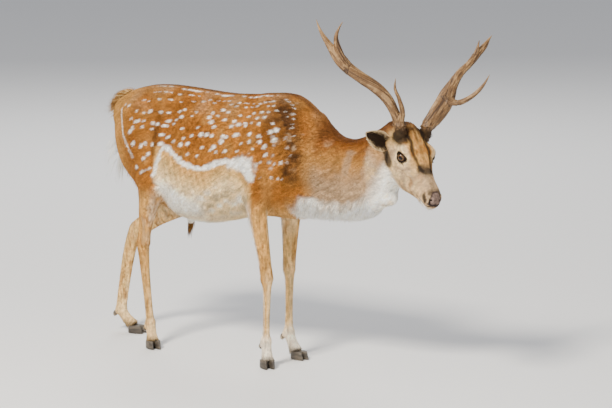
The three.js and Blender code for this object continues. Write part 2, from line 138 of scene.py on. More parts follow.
def smooth_rows(rows, u, pull=0.5):
    """A smooth row between stations, on every column. Pull 0.5 is Catmull-Rom."""
    rows = np.asarray(rows, float)
    last = len(rows) - 1
    u = np.clip(np.asarray(u, float), 0, last)
    i = np.minimum(u.astype(int), last - 1)
    t = (u - i)[..., None]
    a, b, c, d = (rows[np.clip(i + k, 0, last)] for k in (-1, 0, 1, 2))
    slope_in, slope_out, rise = (c - a) * pull, (d - b) * pull, c - b
    bend = 3 * rise - 2 * slope_in - slope_out
    return b + t * (slope_in + t * (bend + t * (slope_in + slope_out - 2 * rise)))


def turn(axis, degrees):
    """A rotation matrix about one of the three axes."""
    c, s = math.cos(math.radians(degrees)), math.sin(math.radians(degrees))
    i, j = [(1, 2), (2, 0), (0, 1)][axis]
    m = np.eye(3)
    m[i, i] = m[j, j] = c
    m[i, j], m[j, i] = -s, s
    return m


def unit(v):
    v = np.asarray(v, float)
    return v / np.maximum(np.linalg.norm(v, axis=-1, keepdims=True), 1e-9)


def step(low, high, x):
    """A smooth step from 0 at low to 1 at high."""
    t = np.clip((np.asarray(x, float) - low) / (high - low), 0, 1)
    return t * t * (3 - 2 * t)


def bell(x, width):
    """1 where x is 0, and next to nothing twice the width away."""
    return np.exp(-((x / width) ** 2))


def mix(base, other, share):
    """Rows of base turned into other by a share from 0 to 1 for each."""
    share = np.clip(share, 0, 1)[:, None]
    return base * (1 - share) + other * share


def height_at(x, line):
    """The height of a line of x and z places at each x."""
    return np.interp(x, *np.transpose(line))


def on_side(place, side):
    return np.array(place, float) * [1, side, 1]


def mirrored(p):
    """Points of both sides brought to the left one."""
    return np.column_stack([p[:, 0], np.abs(p[:, 1]), p[:, 2]])


def along_segment(p, a, b):
    """Each point's share of the way from a to b, from 0 to 1, and its offset from the place there."""
    ab = b - a
    t = np.clip(((p - a) @ ab) / (ab @ ab), 0, 1)
    return t, p - a - t[:, None] * ab


def path_distance(p, path, widths=None):
    """Distance from points to a line through a few places, over the width there if widths are given."""
    path = np.asarray(path, float)
    best = np.full(len(p), 1e6)
    for k in range(len(path) - 1):
        t, offset = along_segment(p, path[k], path[k + 1])
        d = np.linalg.norm(offset, axis=1)
        if widths is not None:
            d = d / (widths[k] + t * (widths[k + 1] - widths[k]))
        best = np.minimum(best, d)
    return best


HEAD_TURN = turn(2, HEAD_YAW) @ turn(1, -HEAD_PITCH) @ turn(0, HEAD_ROLL)
# The eye's own axes in the head frame: along the lids to the inner corner, up, and outward.
EYE_OUT = unit([0.3, 0.93, 0.16])
EYE_ALONG = -unit(np.cross([-0.12, 0.0, 1.0], EYE_OUT))
EYE_UP = -np.cross(EYE_ALONG, EYE_OUT)


def to_head(points):
    return (np.asarray(points, float) - HEAD_AT) @ HEAD_TURN


def from_head(points):
    return np.asarray(points, float) @ HEAD_TURN.T + HEAD_AT


def eye_axes(q, side):
    """Points of the head frame along, up and out from one eye."""
    q = (q - on_side(EYE_AT, side)) * [1, side, 1]
    return q @ EYE_ALONG, q @ EYE_UP, q @ EYE_OUT


def lid_gap(along, longer=0, taller=0):
    """Half the height between the lids at each place along them."""
    return (OPENING[1] + taller) * np.maximum(1 - (along / (OPENING[0] + longer)) ** 2, 0) ** 0.8


# ---------------------------------------------------------------- forms as fields
# A field says how far points lie outside a form, in millimetres, and is negative inside.
REACH = 40  # how far from a form its field is still worked out


def blend(a, b, radius):
    """Two forms joined with a fillet."""
    h = np.maximum(radius - np.abs(a - b), 0) / radius
    return np.minimum(a, b) - h * h * radius / 4


def carve(a, hole, radius):
    """A form with a hole cut from it, its edge rounded."""
    return -blend(-a, hole, radius)


def towards_middle(r, f, least):
    """How far outside a form a point lies, r from its middle, where the form reaches r / f."""
    return np.where(r < 1e-3, -least, r - r / np.maximum(f, 1e-6))


class Loft:
    """Superellipse sections along a line, each square to the line's own direction there."""

    samples = 240

    def __init__(self, centres, normals, across, radii, powers, axis):
        """radii are up, down and half width; axis is the one along which the line always runs on."""
        lengths = np.linalg.norm(np.diff(centres, axis=0), axis=1)
        run = np.concatenate([[0], np.cumsum(lengths)])
        even = np.linspace(0, run[-1], self.samples)

        def evenly(a):
            return np.stack([np.interp(even, run, column) for column in a.T], 1)

        self.c, self.n, self.s, self.radii = map(evenly, (centres, unit(normals), unit(across), radii))
        self.v = unit(np.cross(self.n, self.s))
        self.powers, self.axis, self.pace = powers, axis, even[1]
        self.sign = 1 if centres[-1][axis] > centres[0][axis] else -1
        self.reach = (self.c.min(0) - radii.max() - REACH, self.c.max(0) + radii.max() + REACH)

    def parts(self, p):
        """Place along the line in samples, and how far along, across and up from it, with the radii there."""
        last = len(self.c) - 1
        w = np.interp(self.sign * p[:, self.axis], self.sign * self.c[:, self.axis], np.arange(last + 1))
        for _ in range(4):
            i = np.clip(np.rint(w).astype(int), 0, last)
            w = np.clip(i + ((p - self.c[i]) * self.n[i]).sum(1) / self.pace, 0, last)
        i = np.minimum(w.astype(int), last - 1)
        t = (w - i)[:, None]

        def at(a):
            return a[i] * (1 - t) + a[i + 1] * t

        d = p - at(self.c)
        return w, (d * at(self.n)).sum(1), (d * at(self.s)).sum(1), (d * at(self.v)).sum(1), at(self.radii)

    def __call__(self, p):
        w, along, side, rise, radii = self.parts(p)
        above = rise > 0
        updown = np.where(above, radii[:, 0], radii[:, 1])
        power = np.where(above, self.powers[0], self.powers[1])
        f = (np.abs(side / radii[:, 2]) ** power + np.abs(rise / updown) ** power) ** (1 / power)
        d = towards_middle(np.hypot(side, rise), f, np.minimum(radii[:, 2], updown))
        beyond = np.maximum(np.abs(along) - self.pace, 0)
        to_end = np.minimum(w, len(self.c) - 1 - w) * self.pace
        return np.where(beyond > 0, np.hypot(np.maximum(d, 0), beyond), np.maximum(d, -to_end - self.pace))


def dense(rows):
    """The columns of smooth rows, close enough for a loft."""
    return smooth_rows(rows, np.linspace(0, len(rows) - 1, 4 * Loft.samples)).T


def upright_loft(rows, powers, depth):
    """Upright sections across X, as the trunk and the skull have."""
    x, top, bottom, half, mid = dense(rows)
    normals, across = (np.tile(way, (len(x), 1)) for way in ([1.0, 0, 0], [0, 1.0, 0]))
    radii = np.stack([top - mid, mid - bottom, half], 1) - depth
    return Loft(np.stack([x, np.zeros_like(x), mid], 1), normals, across, radii, powers, 0)


def neck_loft():
    x, y, z, pitch, up, down, half = dense(NECK)
    pitch = np.radians(pitch)
    normals = np.stack([np.cos(pitch), 0 * pitch, np.sin(pitch)], 1)
    radii = np.stack([up, down, half], 1) - BODY_COAT
    return Loft(np.stack([x, y, z], 1), normals, np.tile([0, 1.0, 0], (len(x), 1)), radii, [1.9, 2.1], 0)


def leg_loft(name):
    shape, toe, joints, _ = LEGS[name]
    place, fore, back, half = dense(shape)
    place = np.clip(place, 0, 4)

    def at(w):
        return smooth_rows(joints, np.clip(w, 0, 4), LEG_PULL)

    down = unit(at(place + LEG_LOOK) - at(place - LEG_LOOK))
    out = np.tile([-math.sin(math.radians(toe)), math.cos(math.radians(toe)), 0], (len(place), 1))
    forward = unit(np.cross(out, down))
    radii = np.stack([back, fore, half], 1) - height_at(place, LEG_COAT)[:, None]
    return Loft(at(place), np.cross(forward, out), out, radii, [2, 2], 2)


class Ellipsoid:
    def __init__(self, at, size, pitch=0, depth=0):
        self.at, self.size, self.turn = np.asarray(at, float), np.asarray(size, float) - depth, turn(1, pitch)
        self.reach = (self.at - self.size.max() - REACH, self.at + self.size.max() + REACH)

    def __call__(self, p):
        q = (p - self.at) @ self.turn
        return towards_middle(
            np.linalg.norm(q, axis=1), np.linalg.norm(q / self.size, axis=1), self.size.min()
        )


class Chain:
    """A round form along a few points, each x, y, z and radius."""

    def __init__(self, points):
        self.points = np.asarray(points, float)
        at, r = self.points[:, :3], self.points[:, 3].max()
        self.reach = (at.min(0) - r - REACH, at.max(0) + r + REACH)

    def __call__(self, p):
        best = np.full(len(p), 1e6)
        for a, b in zip(self.points[:-1], self.points[1:]):
            t, offset = along_segment(p, a[:3], b[:3])
            best = np.minimum(best, np.linalg.norm(offset, axis=1) - (a[3] + t * (b[3] - a[3])))
        return best


def both_sides(form, depth=0):
    """An ellipsoid of the left side and its mirror image."""
    return [Ellipsoid(on_side(form["at"], side), form["size"], form["pitch"], depth) for side in WORDS]


class Skull:
    """The head's flesh, with sockets, lids and nostrils."""

    def __init__(self):
        self.loft = upright_loft(SKULL, [2.3, 2.1], HEAD_COAT)
        self.swellings = [(brow, 14) for brow in both_sides(BROW, HEAD_COAT)]
        self.swellings += [(Chain(EAR_ROOTS[side]), 16) for side in WORDS]
        self.swellings += [(Chain([[x, side * y, z, r] for x, y, z, r in PEDICLES]), 12) for side in WORDS]
        self.nostrils = both_sides(NOSTRIL)
        corners = from_head([[x, y, z] for x in (-90, 340) for y in (-110, 110) for z in (-150, 130)])
        self.reach = (corners.min(0), corners.max(0))

    def __call__(self, p):
        q = to_head(p)
        d = self.loft(q)
        for form, radius in self.swellings:
            d = blend(d, form(q), radius)
        for side in WORDS:
            along, up, out = eye_axes(q, side)
            r = np.sqrt(along**2 + up**2 + out**2)
            d = blend(d, r - EYE_RADIUS - LID, 9)
            hole = np.maximum(np.maximum(np.abs(up) - lid_gap(along), -out), r - EYE_RADIUS - 12)
            d = carve(d, hole, 1.6)
        for nostril in self.nostrils:
            d = carve(d, nostril(q), 2)
        return d


def dewclaw_place(leg, side):
    _, toe, joints, _ = LEGS[leg]
    place = np.array(joints[3], float) + turn(2, toe) @ [-DEWCLAW["behind"], side * DEWCLAW["apart"], 0]
    return place - [0, 0, DEWCLAW["drop"]]


class Flesh:
    """Everything under the coat, each form with the fillet that joins it."""

    def __init__(self):
        throat = Ellipsoid(THROAT["at"], THROAT["size"], THROAT["pitch"], BODY_COAT)
        trunk = upright_loft(TRUNK, TRUNK_POWERS, BODY_COAT)
        self.forms = [(trunk, 1), (neck_loft(), 60), (Skull(), 34), (throat, 26)]
        self.forms += [(form, 40) for muscle in MUSCLES for form in both_sides(muscle, BODY_COAT)]
        self.forms += [(leg_loft(name), 30) for name in LEGS]
        self.forms += [(Chain(TAIL), 14), (Chain(SHEATH), 16)]
        for name in LEGS:
            fetlock = np.array(LEGS[name][2][3], float) + [0, 0, 4]
            for side in WORDS:
                self.forms.append((Chain([[*fetlock, 12], [*dewclaw_place(name, side), 6.5]]), 9))

    def __call__(self, p):
        d = np.full(len(p), 200.0)
        for form, radius in self.forms:
            near = np.all((p > form.reach[0]) & (p < form.reach[1]), axis=1)
            if near.any():
                d[near] = blend(d[near], form(p[near]), radius)
        return d


def settle(field, p, turns=2, most=3.0, reach=0.6):
    """Moves points onto the field's surface along its slope."""
    p = p.copy()
    for _ in range(turns):
        shifts = np.eye(3) * reach
        g = np.stack([(field(p + shift) - field(p - shift)) / (2 * reach) for shift in shifts], 1)
        move = -field(p)[:, None] * g / np.maximum((g * g).sum(1, keepdims=True), 0.2)
        length = np.linalg.norm(move, axis=1, keepdims=True)
        p += move * np.minimum(1, most / np.maximum(length, 1e-9))
    return p


def surface_nets(field, low, high, pitch):
    """A closed quad mesh of the field's zero, one corner in each cell that it crosses."""
    counts = np.ceil((np.asarray(high) - low) / pitch).astype(int) + 1
    axes = [low[k] + pitch * np.arange(counts[k]) for k in range(3)]
    values = np.empty(counts, np.float32)
    layer = np.stack(np.meshgrid(axes[1], axes[2], indexing="ij"), -1).reshape(-1, 2)
    slab = 12
    for start in range(0, counts[0], slab):
        xs = axes[0][start : start + slab]
        p = np.concatenate([np.column_stack([np.full(len(layer), x), layer]) for x in xs])
        values[start : start + slab] = field(p).reshape(len(xs), counts[1], counts[2])
    inside = values < 0
    corners = [(i, j, k) for i in (0, 1) for j in (0, 1) for k in (0, 1)]
    held = sum(
        inside[i : counts[0] - 1 + i, j : counts[1] - 1 + j, k : counts[2] - 1 + k].astype(np.int8)
        for i, j, k in corners
    )
    cells = np.argwhere((held > 0) & (held < 8))
    number = np.full(held.shape, -1, np.int32)
    number[tuple(cells.T)] = np.arange(len(cells))
    at = np.stack([values[tuple((cells + c).T)] for c in corners], 1)
    total, crossed = np.zeros((len(cells), 3)), np.zeros(len(cells))
    for a, ca in enumerate(corners):
        for b, cb in enumerate(corners):
            if b > a and sum(abs(x - y) for x, y in zip(ca, cb)) == 1:
                va, vb = at[:, a], at[:, b]
                cut = (va < 0) != (vb < 0)
                t = np.where(cut, va / np.where(cut, va - vb, 1), 0)[:, None]
                total += np.where(cut[:, None], np.array(ca) + t * (np.array(cb) - np.array(ca)), 0)
                crossed += cut
    points = low + pitch * (cells + total / crossed[:, None])
    quads = []
    for axis in range(3):
        take = [slice(1, -1)] * 3
        take[axis] = slice(0, -1)
        cut = inside != np.roll(inside, -1, axis)
        edges = np.argwhere(cut[tuple(take)]) + [0 if k == axis else 1 for k in range(3)]
        back_u, back_v = np.roll(np.eye(3, dtype=int), -axis - 1, 0)[:2]
        ring = [edges - back_u - back_v, edges - back_v, edges, edges - back_u]
        quad = np.stack([number[tuple(c.T)] for c in ring], 1)
        quads.append(np.where(inside[tuple(edges.T)][:, None], quad, quad[:, ::-1]))
    return points, np.concatenate(quads)


# ---------------------------------------------------------------- meshes
def shown(name, mesh):
    """A smooth piece of the scene with that mesh."""
    mesh.polygons.foreach_set("use_smooth", np.ones(len(mesh.polygons), bool))
    piece = bpy.data.objects.new(name, mesh)
    bpy.context.scene.collection.objects.link(piece)
    return piece


def mesh_piece(name, points, faces):
    """A piece from points in the animal's millimetres and an array of faces, made fast."""
    faces = np.asarray(faces, np.int32)
    mesh = bpy.data.meshes.new(name)
    mesh.vertices.add(len(points))
    mesh.loops.add(faces.size)
    mesh.loops.foreach_set("vertex_index", faces.ravel())
    mesh.polygons.add(len(faces))
    mesh.polygons.foreach_set("loop_start", np.arange(0, faces.size, faces.shape[1], dtype=np.int32))
    set_points(mesh, points)
    mesh.update(calc_edges=True)
    return shown(name, mesh)


def solid_piece(name, points, faces):
    """A closed piece with its faces turned outward."""
    mesh = bpy.data.meshes.new(name)
    mesh.from_pydata(in_frame(points).tolist(), [], faces)
    bm = bmesh.new()
    bm.from_mesh(mesh)
    bmesh.ops.recalc_face_normals(bm, faces=bm.faces)
    bm.to_mesh(mesh)
    bm.free()
    return shown(name, mesh)


def bands(rings, sides, first=0):
    """Quads between rings of corners that are numbered from first."""
    start = first + sides * np.arange(rings - 1)[:, None]
    ring = np.arange(sides)
    after = (ring + 1) % sides
    quads = np.stack([start + ring, start + after, start + sides + after, start + sides + ring], -1)
    return quads.reshape(-1, 4).tolist()


def fan(middle, first, sides):
    """Triangles from a middle corner to a ring that is numbered from first."""
    return [[middle, first + k, first + (k + 1) % sides] for k in range(sides)]


def vectors_of(mesh, kind):
    values = np.empty(len(mesh.vertices) * 3, np.float32)
    mesh.vertices.foreach_get(kind, values)
    return values.reshape(-1, 3).astype(float)


def points_of(mesh):
    return vectors_of(mesh, "co") * 1000 + CENTRE


def set_points(mesh, points):
    mesh.vertices.foreach_set("co", in_frame(points).astype(np.float32).ravel())
    mesh.update()


def refine(mesh, wanted):
    """Splits every edge that wanted() picks by its middle, keeping the mesh closed."""
    bm = bmesh.new()
    bm.from_mesh(mesh)
    picked = wanted(np.array([(e.verts[0].co + e.verts[1].co) * 500 for e in bm.edges]) + CENTRE)
    edges = [e for e, pick in zip(bm.edges, picked) if pick]
    bmesh.ops.subdivide_edges(bm, edges=edges, cuts=1, use_grid_fill=True)
    bmesh.ops.triangulate(bm, faces=[f for f in bm.faces if len(f.verts) > 4])
    bm.to_mesh(mesh)
    bm.free()
    mesh.update()


# ---------------------------------------------------------------- skin
# Relief of bone and muscle on each side: a line as x, z places, its half width and its height.
RELIEF = [
    ([(338, 876), (300, 780), (268, 700)], 20, 3.5),
    ([(206, 830), (178, 720), (186, 640), (222, 585)], 24, -4.5),
    ([(398, 650), (400, 622)], 30, 5), ([(240, 640), (236, 590)], 34, 4), ([(214, 556), (212, 540)], 15, 4),
    ([(-186, 850), (-205, 842)], 22, 6), ([(-128, 812), (-118, 760)], 44, -7),
    ([(-150, 770), (-150, 690), (-152, 610)], 18, 4.5), ([(-330, 770), (-318, 690), (-292, 600)], 20, -3.5),
    ([(-398, 806), (-392, 780)], 22, 5), ([(440, 606), (560, 600), (690, 664), (740, 712)], 15, -3),
    ([(420, 668), (560, 664), (690, 720)], 26, 3), ([(452, 800), (470, 700)], 24, -3.5),
]
RELIEF_GAIN = 1.5
RIB = [(60, 850), (20, 760), (0, 660), (14, 560)]  # x beside the rib's own place, and z
RIB_PLACES, RIB_HEIGHT, RIB_WIDTH = np.linspace(60, -110, 8), 1.1, 8
# Folds of the head on each side, in its own frame: a line, its half width and its height.
FOLDS = [
    ([[129, 56, 4], [139, 53, -4]], 2.4, -2.4), ([[124, 58, 8], [138, 56, 3], [152, 50, -7]], 4, 1.4),
    ([[292, 16, -42], [270, 22, -46], [246, 27, -50]], 4, 1.2),
    ([[280, 22, 0], [288, 21, -1], [297, 16, -3]], 3, 2.4),
    ([[283, 24, -8], [284, 24, -18], [291, 20, -22]], 3, 1.8), ([[288, 19, -14], [286, 21, -9]], 2.4, -2.6),
    ([[296, 8, 2], [303, 9, -12]], 3, 1.2), ([[304, 0, -8], [303, 0, -28]], 1.6, -1.8),
    ([[150, 38, -30], [190, 32, -28], [225, 29, -30]], 12, -2.2),
    ([[60, 56, -52], [100, 54, -62], [150, 44, -60]], 16, 2.5),
    ([[120, 50, -18], [165, 42, -16], [205, 35, -18]], 8, 2.2),
    ([[96, 46, -2], [116, 55, -14], [140, 52, -20]], 4, -1.6),
    ([[96, 54, 38], [114, 59, 40], [134, 54, 33]], 5, 2.8),
    ([[92, 58, -12], [112, 61, -16], [134, 56, -14]], 5, 1.8), ([[78, 57, 12], [82, 60, -4]], 5, -1.6),
    ([[60, 60, -38], [80, 58, -60]], 8, 1.6), ([[150, 42, -6], [190, 34, 2], [222, 30, 4]], 7, -1.2),
    ([[200, 20, 24], [240, 17, 18], [280, 12, 8]], 9, 1.2),
]
MOUTH = [(302, -29), (292, -35), (276, -38), (252, -42), (228, -46)]  # seen from the side, in the head frame


def body_relief(p, n):
    """How far bone and muscle push the skin out at each place."""
    flat, facing = p[:, [0, 2]], step(0.15, 0.5, np.abs(n[:, 1]))
    lines = RELIEF + [([(x + place, z) for x, z in RIB], RIB_WIDTH, RIB_HEIGHT) for place in RIB_PLACES]
    rise = sum(height * bell(path_distance(flat, line), width) * facing for line, width, height in lines)
    return RELIEF_GAIN * rise * step(470, 560, p[:, 2])


def limb_relief(p):
    """Knees, hocks, tendons and the hollow before the hock's cord, on every leg."""
    rise = np.zeros(len(p))
    for name in LEGS:
        loft = leg_loft(name)
        near = np.all((p > loft.reach[0]) & (p < loft.reach[1]), axis=1) & (p[:, 2] < 480)
        near &= (p[:, 1] > 0) == name.endswith("left")
        _, _, side, back, radii = loft.parts(p[near])
        z = p[near][:, 2]
        knee, fetlock = LEGS[name][2][2][2], LEGS[name][2][3][2]
        lateral = np.abs(side) / np.maximum(radii[:, 2], 1)
        cannon = step(knee - 40, knee - 80, z) * step(fetlock + 12, fetlock + 40, z)
        tendon = -1.5 * bell(back - 3, 4.0) * cannon * step(0.5, 0.8, lateral)
        joint = bell(z - knee, 26) * np.cos(np.clip(back / 7, -3, 3)) * step(0.4, 0.8, lateral)
        rise[near] += tendon + 1.6 * joint
        if name.startswith("hind"):
            rise[near] -= 4.2 * bell(z - knee - 62, 42) * bell(back - 12, 9) * step(0.3, 0.7, lateral)
    return rise


def mouth_distance(q):
    """Distance from the line between the lips, seen from the side."""
    return path_distance(q[:, [0, 2]], MOUTH) + 30 * (np.abs(q[:, 1]) < 2)


def head_relief(p):
    """How far folds of the face stand out from the skull or sink into it."""
    q = to_head(p)
    rise = np.zeros(len(p))
    near = (p[:, 0] > SKULL_FROM) & (q[:, 0] > 30)
    for line, width, height in FOLDS:
        rise[near] += height * bell(path_distance(mirrored(q[near]), line), width)
    rise[near] -= 2.4 * bell(mouth_distance(q[near]), 1.7)
    return rise


SKIN_LOW, SKIN_HIGH, SKIN_PITCH = np.array([-545.0, -190, 18]), np.array([1025.0, 190, 925]), 5.2
LEG_TOP = 430  # below this height the legs are refined


def make_skin():
    """One closed skin over head, neck, trunk, legs and tail, finest round the eyes and muzzle."""
    flesh = Flesh()
    points, quads = surface_nets(flesh, SKIN_LOW, SKIN_HIGH, SKIN_PITCH)
    skin = mesh_piece("skin", settle(flesh, points), quads)

    def head_and_legs(p):
        return ((to_head(p)[:, 0] > -10) & (p[:, 0] > SKULL_FROM)) | (p[:, 2] < LEG_TOP)

    def eyes_and_muzzle(p):
        q = to_head(p)
        near_eye = np.linalg.norm(np.abs(q) - [EYE_AT[0], EYE_AT[1] + 8, EYE_AT[2]], axis=1) < 36
        return ((q[:, 0] > 232) | near_eye) & (p[:, 0] > SKULL_FROM)

    for wanted in (head_and_legs, eyes_and_muzzle):
        refine(skin.data, wanted)
        points = points_of(skin.data)
        changed = wanted(points)
        points[changed] = settle(flesh, points[changed])
        set_points(skin.data, points)
    points, normals = points_of(skin.data), vectors_of(skin.data, "normal")
    rise = body_relief(points, normals) + limb_relief(points) + head_relief(points)
    set_points(skin.data, points + normals * rise[:, None])
    return skin


# ---------------------------------------------------------------- ears
EAR = {"length": 127, "width": 31, "thickness": 5.5, "root": [36, 50, -12]}
EARS = {
    RIGHT: {"aim": [0.03, 0.88, 0.46], "open": [0.87, -0.25, 0.43]},
    LEFT: {"aim": [-0.82, 0.4, -0.4], "open": [0.2, 0.9, 0.1]},
}
# Shares of the ear's length, width, hollow and thickness.
EAR_ROWS = [
    [-0.12, 0.34, 0.0, 1.3], [0.08, 0.5, 0.1, 1.2], [0.3, 0.88, 0.32, 1.0], [0.55, 1.0, 0.32, 0.9],
    [0.8, 0.68, 0.2, 0.8], [0.95, 0.32, 0.08, 0.7], [1.0, 0.08, 0.0, 0.5],
]
EAR_RINGS, EAR_SIDES = 54, 48


class Ear:
    """One ear's place and axes in the head frame."""

    def __init__(self, side):
        self.side, self.root = side, on_side(EAR["root"], side)
        self.along = unit(on_side(EARS[side]["aim"], side))
        face = on_side(EARS[side]["open"], side)
        self.face = unit(face - face @ self.along * self.along)
        self.across = np.cross(self.along, self.face)

    def parts(self, p):
        """Share of the length, how far across and out of the ear's plane, and how near its edge points lie."""
        d = to_head(p) - self.root
        share, over = (d @ self.along) / EAR["length"], d @ self.across
        wide = self.at(share, 1) * EAR["width"]
        return share, over, d @ self.face, np.abs(over) / np.maximum(wide, 1)

    def at(self, share, column):
        return np.interp(share, [row[0] for row in EAR_ROWS], [row[column] for row in EAR_ROWS])

    def make(self):
        """A closed leaf, hollowed on the side it opens to, with ridges inside."""
        t = np.linspace(0, 1, EAR_RINGS) ** 0.9
        angle = np.linspace(0, 2 * math.pi, EAR_SIDES, endpoint=False)
        share, wide, cup, thick = smooth_rows(EAR_ROWS, t * (len(EAR_ROWS) - 1)).T[:, :, None]
        c, s = np.cos(angle)[None, :], np.sin(angle)[None, :]
        wave = 0.07 * np.sin(share * 9 + 1) * c**2 * np.sign(c)
        middle = (s > 0) * (np.abs(c) < 0.8) * step(0.15, 0.4, share) * step(0.95, 0.7, share)
        ridges = 1.2 * np.cos(c * 11) * middle
        lift = (cup + wave) * EAR["width"] * c**2 + 0.5 * thick * EAR["thickness"] * s + ridges
        places = (share * EAR["length"] + 0 * c, wide * EAR["width"] * c, lift)
        ways = (self.along, self.across, self.face)
        points = self.root + sum(d[..., None] * way for d, way in zip(places, ways))
        faces = bands(EAR_RINGS, EAR_SIDES)
        for k in (0, (EAR_RINGS - 1) * EAR_SIDES):
            for i in range(EAR_SIDES // 2 - 1):
                cap = [k + j for j in (i, i + 1, EAR_SIDES - 2 - i, EAR_SIDES - 1 - i)]
                faces.append(cap if k else cap[::-1])
        return solid_piece(f"ear_{WORDS[self.side]}_skin", from_head(points.reshape(-1, 3)), faces)


# ---------------------------------------------------------------- markings
# Each marking is a colour laid over those before it, by a share that is worked out from places on the body,
# the way the skin faces and noise. noise(p, size, seed) takes a seed of its own for each marking.
def srgb(r, g, b):
    """A colour named by its screen values, as the shader's linear ones."""
    c = np.array([r, g, b]) / 255
    return np.where(c > 0.04045, ((c + 0.055) / 1.055) ** 2.4, c / 12.92)


CHESTNUT, RUSTY, TAWNY = srgb(164, 105, 42), srgb(132, 74, 24), srgb(170, 122, 64)
DARK_BROWN, SPINE_BROWN = srgb(74, 46, 22), srgb(98, 62, 30)
FAWN, SAND, CREAM, WHITE = srgb(208, 158, 88), srgb(220, 182, 118), srgb(238, 209, 160), srgb(254, 250, 240)
GREY_FAWN, MOTTLE, MUZZLE_PALE = srgb(174, 148, 118), srgb(138, 124, 100), srgb(196, 164, 126)
SMOKE, NEAR_BLACK = srgb(74, 58, 46), srgb(34, 26, 21)
NOSE_BLACK, NOSE_PINK = srgb(58, 46, 42), srgb(132, 110, 98)
IRIS_BROWN, IRIS_AMBER = srgb(40, 26, 15), srgb(118, 88, 58)
ANTLER_BROWN, ANTLER_PALE, ANTLER_DARK = srgb(108, 78, 46), srgb(172, 138, 94), srgb(50, 33, 19)
HOOF_GREY, HOOF_PALE = srgb(60, 54, 47), srgb(114, 102, 86)
COLOUR_NAME = "markings"


class Layers:
    """Colours laid over one another, each with its share at every point."""

    def __init__(self, count, ground):
        self.colour = np.tile(ground, (count, 1))

    def __call__(self, colour, share):
        self.colour = mix(self.colour, colour, share)


def noise(p, size, seed=0):
    """Smooth value noise from -1 to 1 with features of that size, the same on every run."""
    q = np.asarray(p) / size
    cell = np.floor(q).astype(np.int64)
    t = q - cell
    t = t * t * (3 - 2 * t)
    total = 0
    for corner in np.ndindex(2, 2, 2):
        h = ((cell + corner) * [374761393, 668265263, 2147483647]).sum(1) + seed * 974711 & 0xFFFFFFFF
        h = ((h ^ (h >> 13)) * 1274126177) & 0xFFFFFFFF
        value = ((h ^ (h >> 16)) & 0xFFFF) / 65535.0
        total = total + np.where(corner, t, 1 - t).prod(1) * value
    return 2 * total - 1


def trunk_rows(x):
    stations = np.array([row[0] for row in TRUNK], float)
    return smooth_rows(TRUNK, np.interp(x, stations, np.arange(len(stations))))


def girth_angle(p):
    """Degrees round the trunk's side: 0 at its widest line, 90 on the spine, -90 below."""
    _, top, bottom, half, middle = trunk_rows(p[:, 0]).T
    rise = p[:, 2] - middle
    updown = np.where(rise > 0, top - middle, middle - bottom)
    return np.degrees(np.arctan2(rise / updown, np.abs(p[:, 1]) / half))


def trunk_point(x, angle, side):
    """The trunk's surface at that place and girth angle."""
    _, top, bottom, half, middle = trunk_rows(np.array([x]))[0]
    a = math.radians(angle)
    updown, power = (top - middle, 2 / TRUNK_POWERS[0]) if a > 0 else (middle - bottom, 2 / TRUNK_POWERS[1])
    rise = math.copysign(updown * abs(math.sin(a)) ** power, a)
    return np.array([x, side * half * abs(math.cos(a)) ** power, middle + rise])


# Rows of white spots on each side: guide points as x and girth angle, how many spots,
# their half length, half width and how strongly they show.
SPOT_ROWS = [
    ([(-232, 64), (-64, 68), (175, 62), (290, 62)], 19, 8, 4.2, 0.8),
    ([(-262, 46), (-124, 57), (63, 62), (200, 56), (300, 56)], 16, 10, 4.2, 0.85),
    ([(-326, 36), (-226, 35), (-89, 46), (96, 51), (221, 48), (330, 50)], 19, 10, 6, 0.95),
    ([(-290, 22), (-184, 29), (-88, 39), (66, 46), (200, 41), (300, 42)], 17, 11, 6.4, 0.95),
    ([(-267, 10), (-232, 19), (-101, 29), (72, 36), (191, 36), (330, 38)], 16, 12, 7, 1),
    ([(-158, 18), (-20, 25), (65, 29), (144, 27), (280, 29), (350, 30)], 14, 13, 7.6, 1),
    ([(-251, -2), (-170, 8), (-50, 18), (97, 21), (255, 21), (350, 20)], 16, 13, 8.4, 1),
    ([(-192, -10), (-176, -2)], 2, 11, 7, 1), ([(-20, 13), (90, 15), (190, 14), (325, 12)], 8, 11, 6, 0.9),
    ([(-232, -20), (-159, -14)], 6, 9, 5.5, 1), ([(275, 3), (375, 2)], 5, 9, 5.5, 0.7),
    ([(262, -12), (385, -10)], 5, 9, 5.5, 0.5), ([(335, 70), (372, 60), (396, 48)], 7, 7, 4.5, 0.6),
    ([(345, 56), (384, 44), (404, 30)], 5, 7, 4.5, 0.45), ([(372, 30), (396, 16), (392, 0)], 4, 8, 6, 0.3),
    ([(330, 30), (342, 14), (332, -8)], 4, 8, 6, 0.45),
]
SPOT_SEED = 11
# White lines and patches of each side, as x and z places with their half widths.
FLANK_LINE = [(-113, 704), (-96, 694), (-51, 670), (-25, 655), (17, 647), (49, 643), (91, 657), (150, 680)]
THIGH_LINE = [(-113, 704), (-134, 672), (-146, 640), (-149, 610)]
ELBOW_PATCH = [(170, 668), (205, 672), (240, 668), (252, 640)]
WHITE_LINES = [(FLANK_LINE, [5, 8, 9, 10, 9, 8, 9, 9]), (THIGH_LINE, [5, 6, 5, 4])]
WHITE_LINES += [(ELBOW_PATCH, [16, 26, 30, 20])]
RUMP_LINE = [(-336, 806), (-325, 776), (-304, 725), (-284, 697), (-267, 677), (-248, 655)]
BELLY_LINE = FLANK_LINE + [(230, 650), (300, 560), (420, 500)]
THROAT_LINE = [(330, 520), (400, 566), (449, 580), (520, 562), (611, 568), (705, 616), (746, 660), (800, 700)]


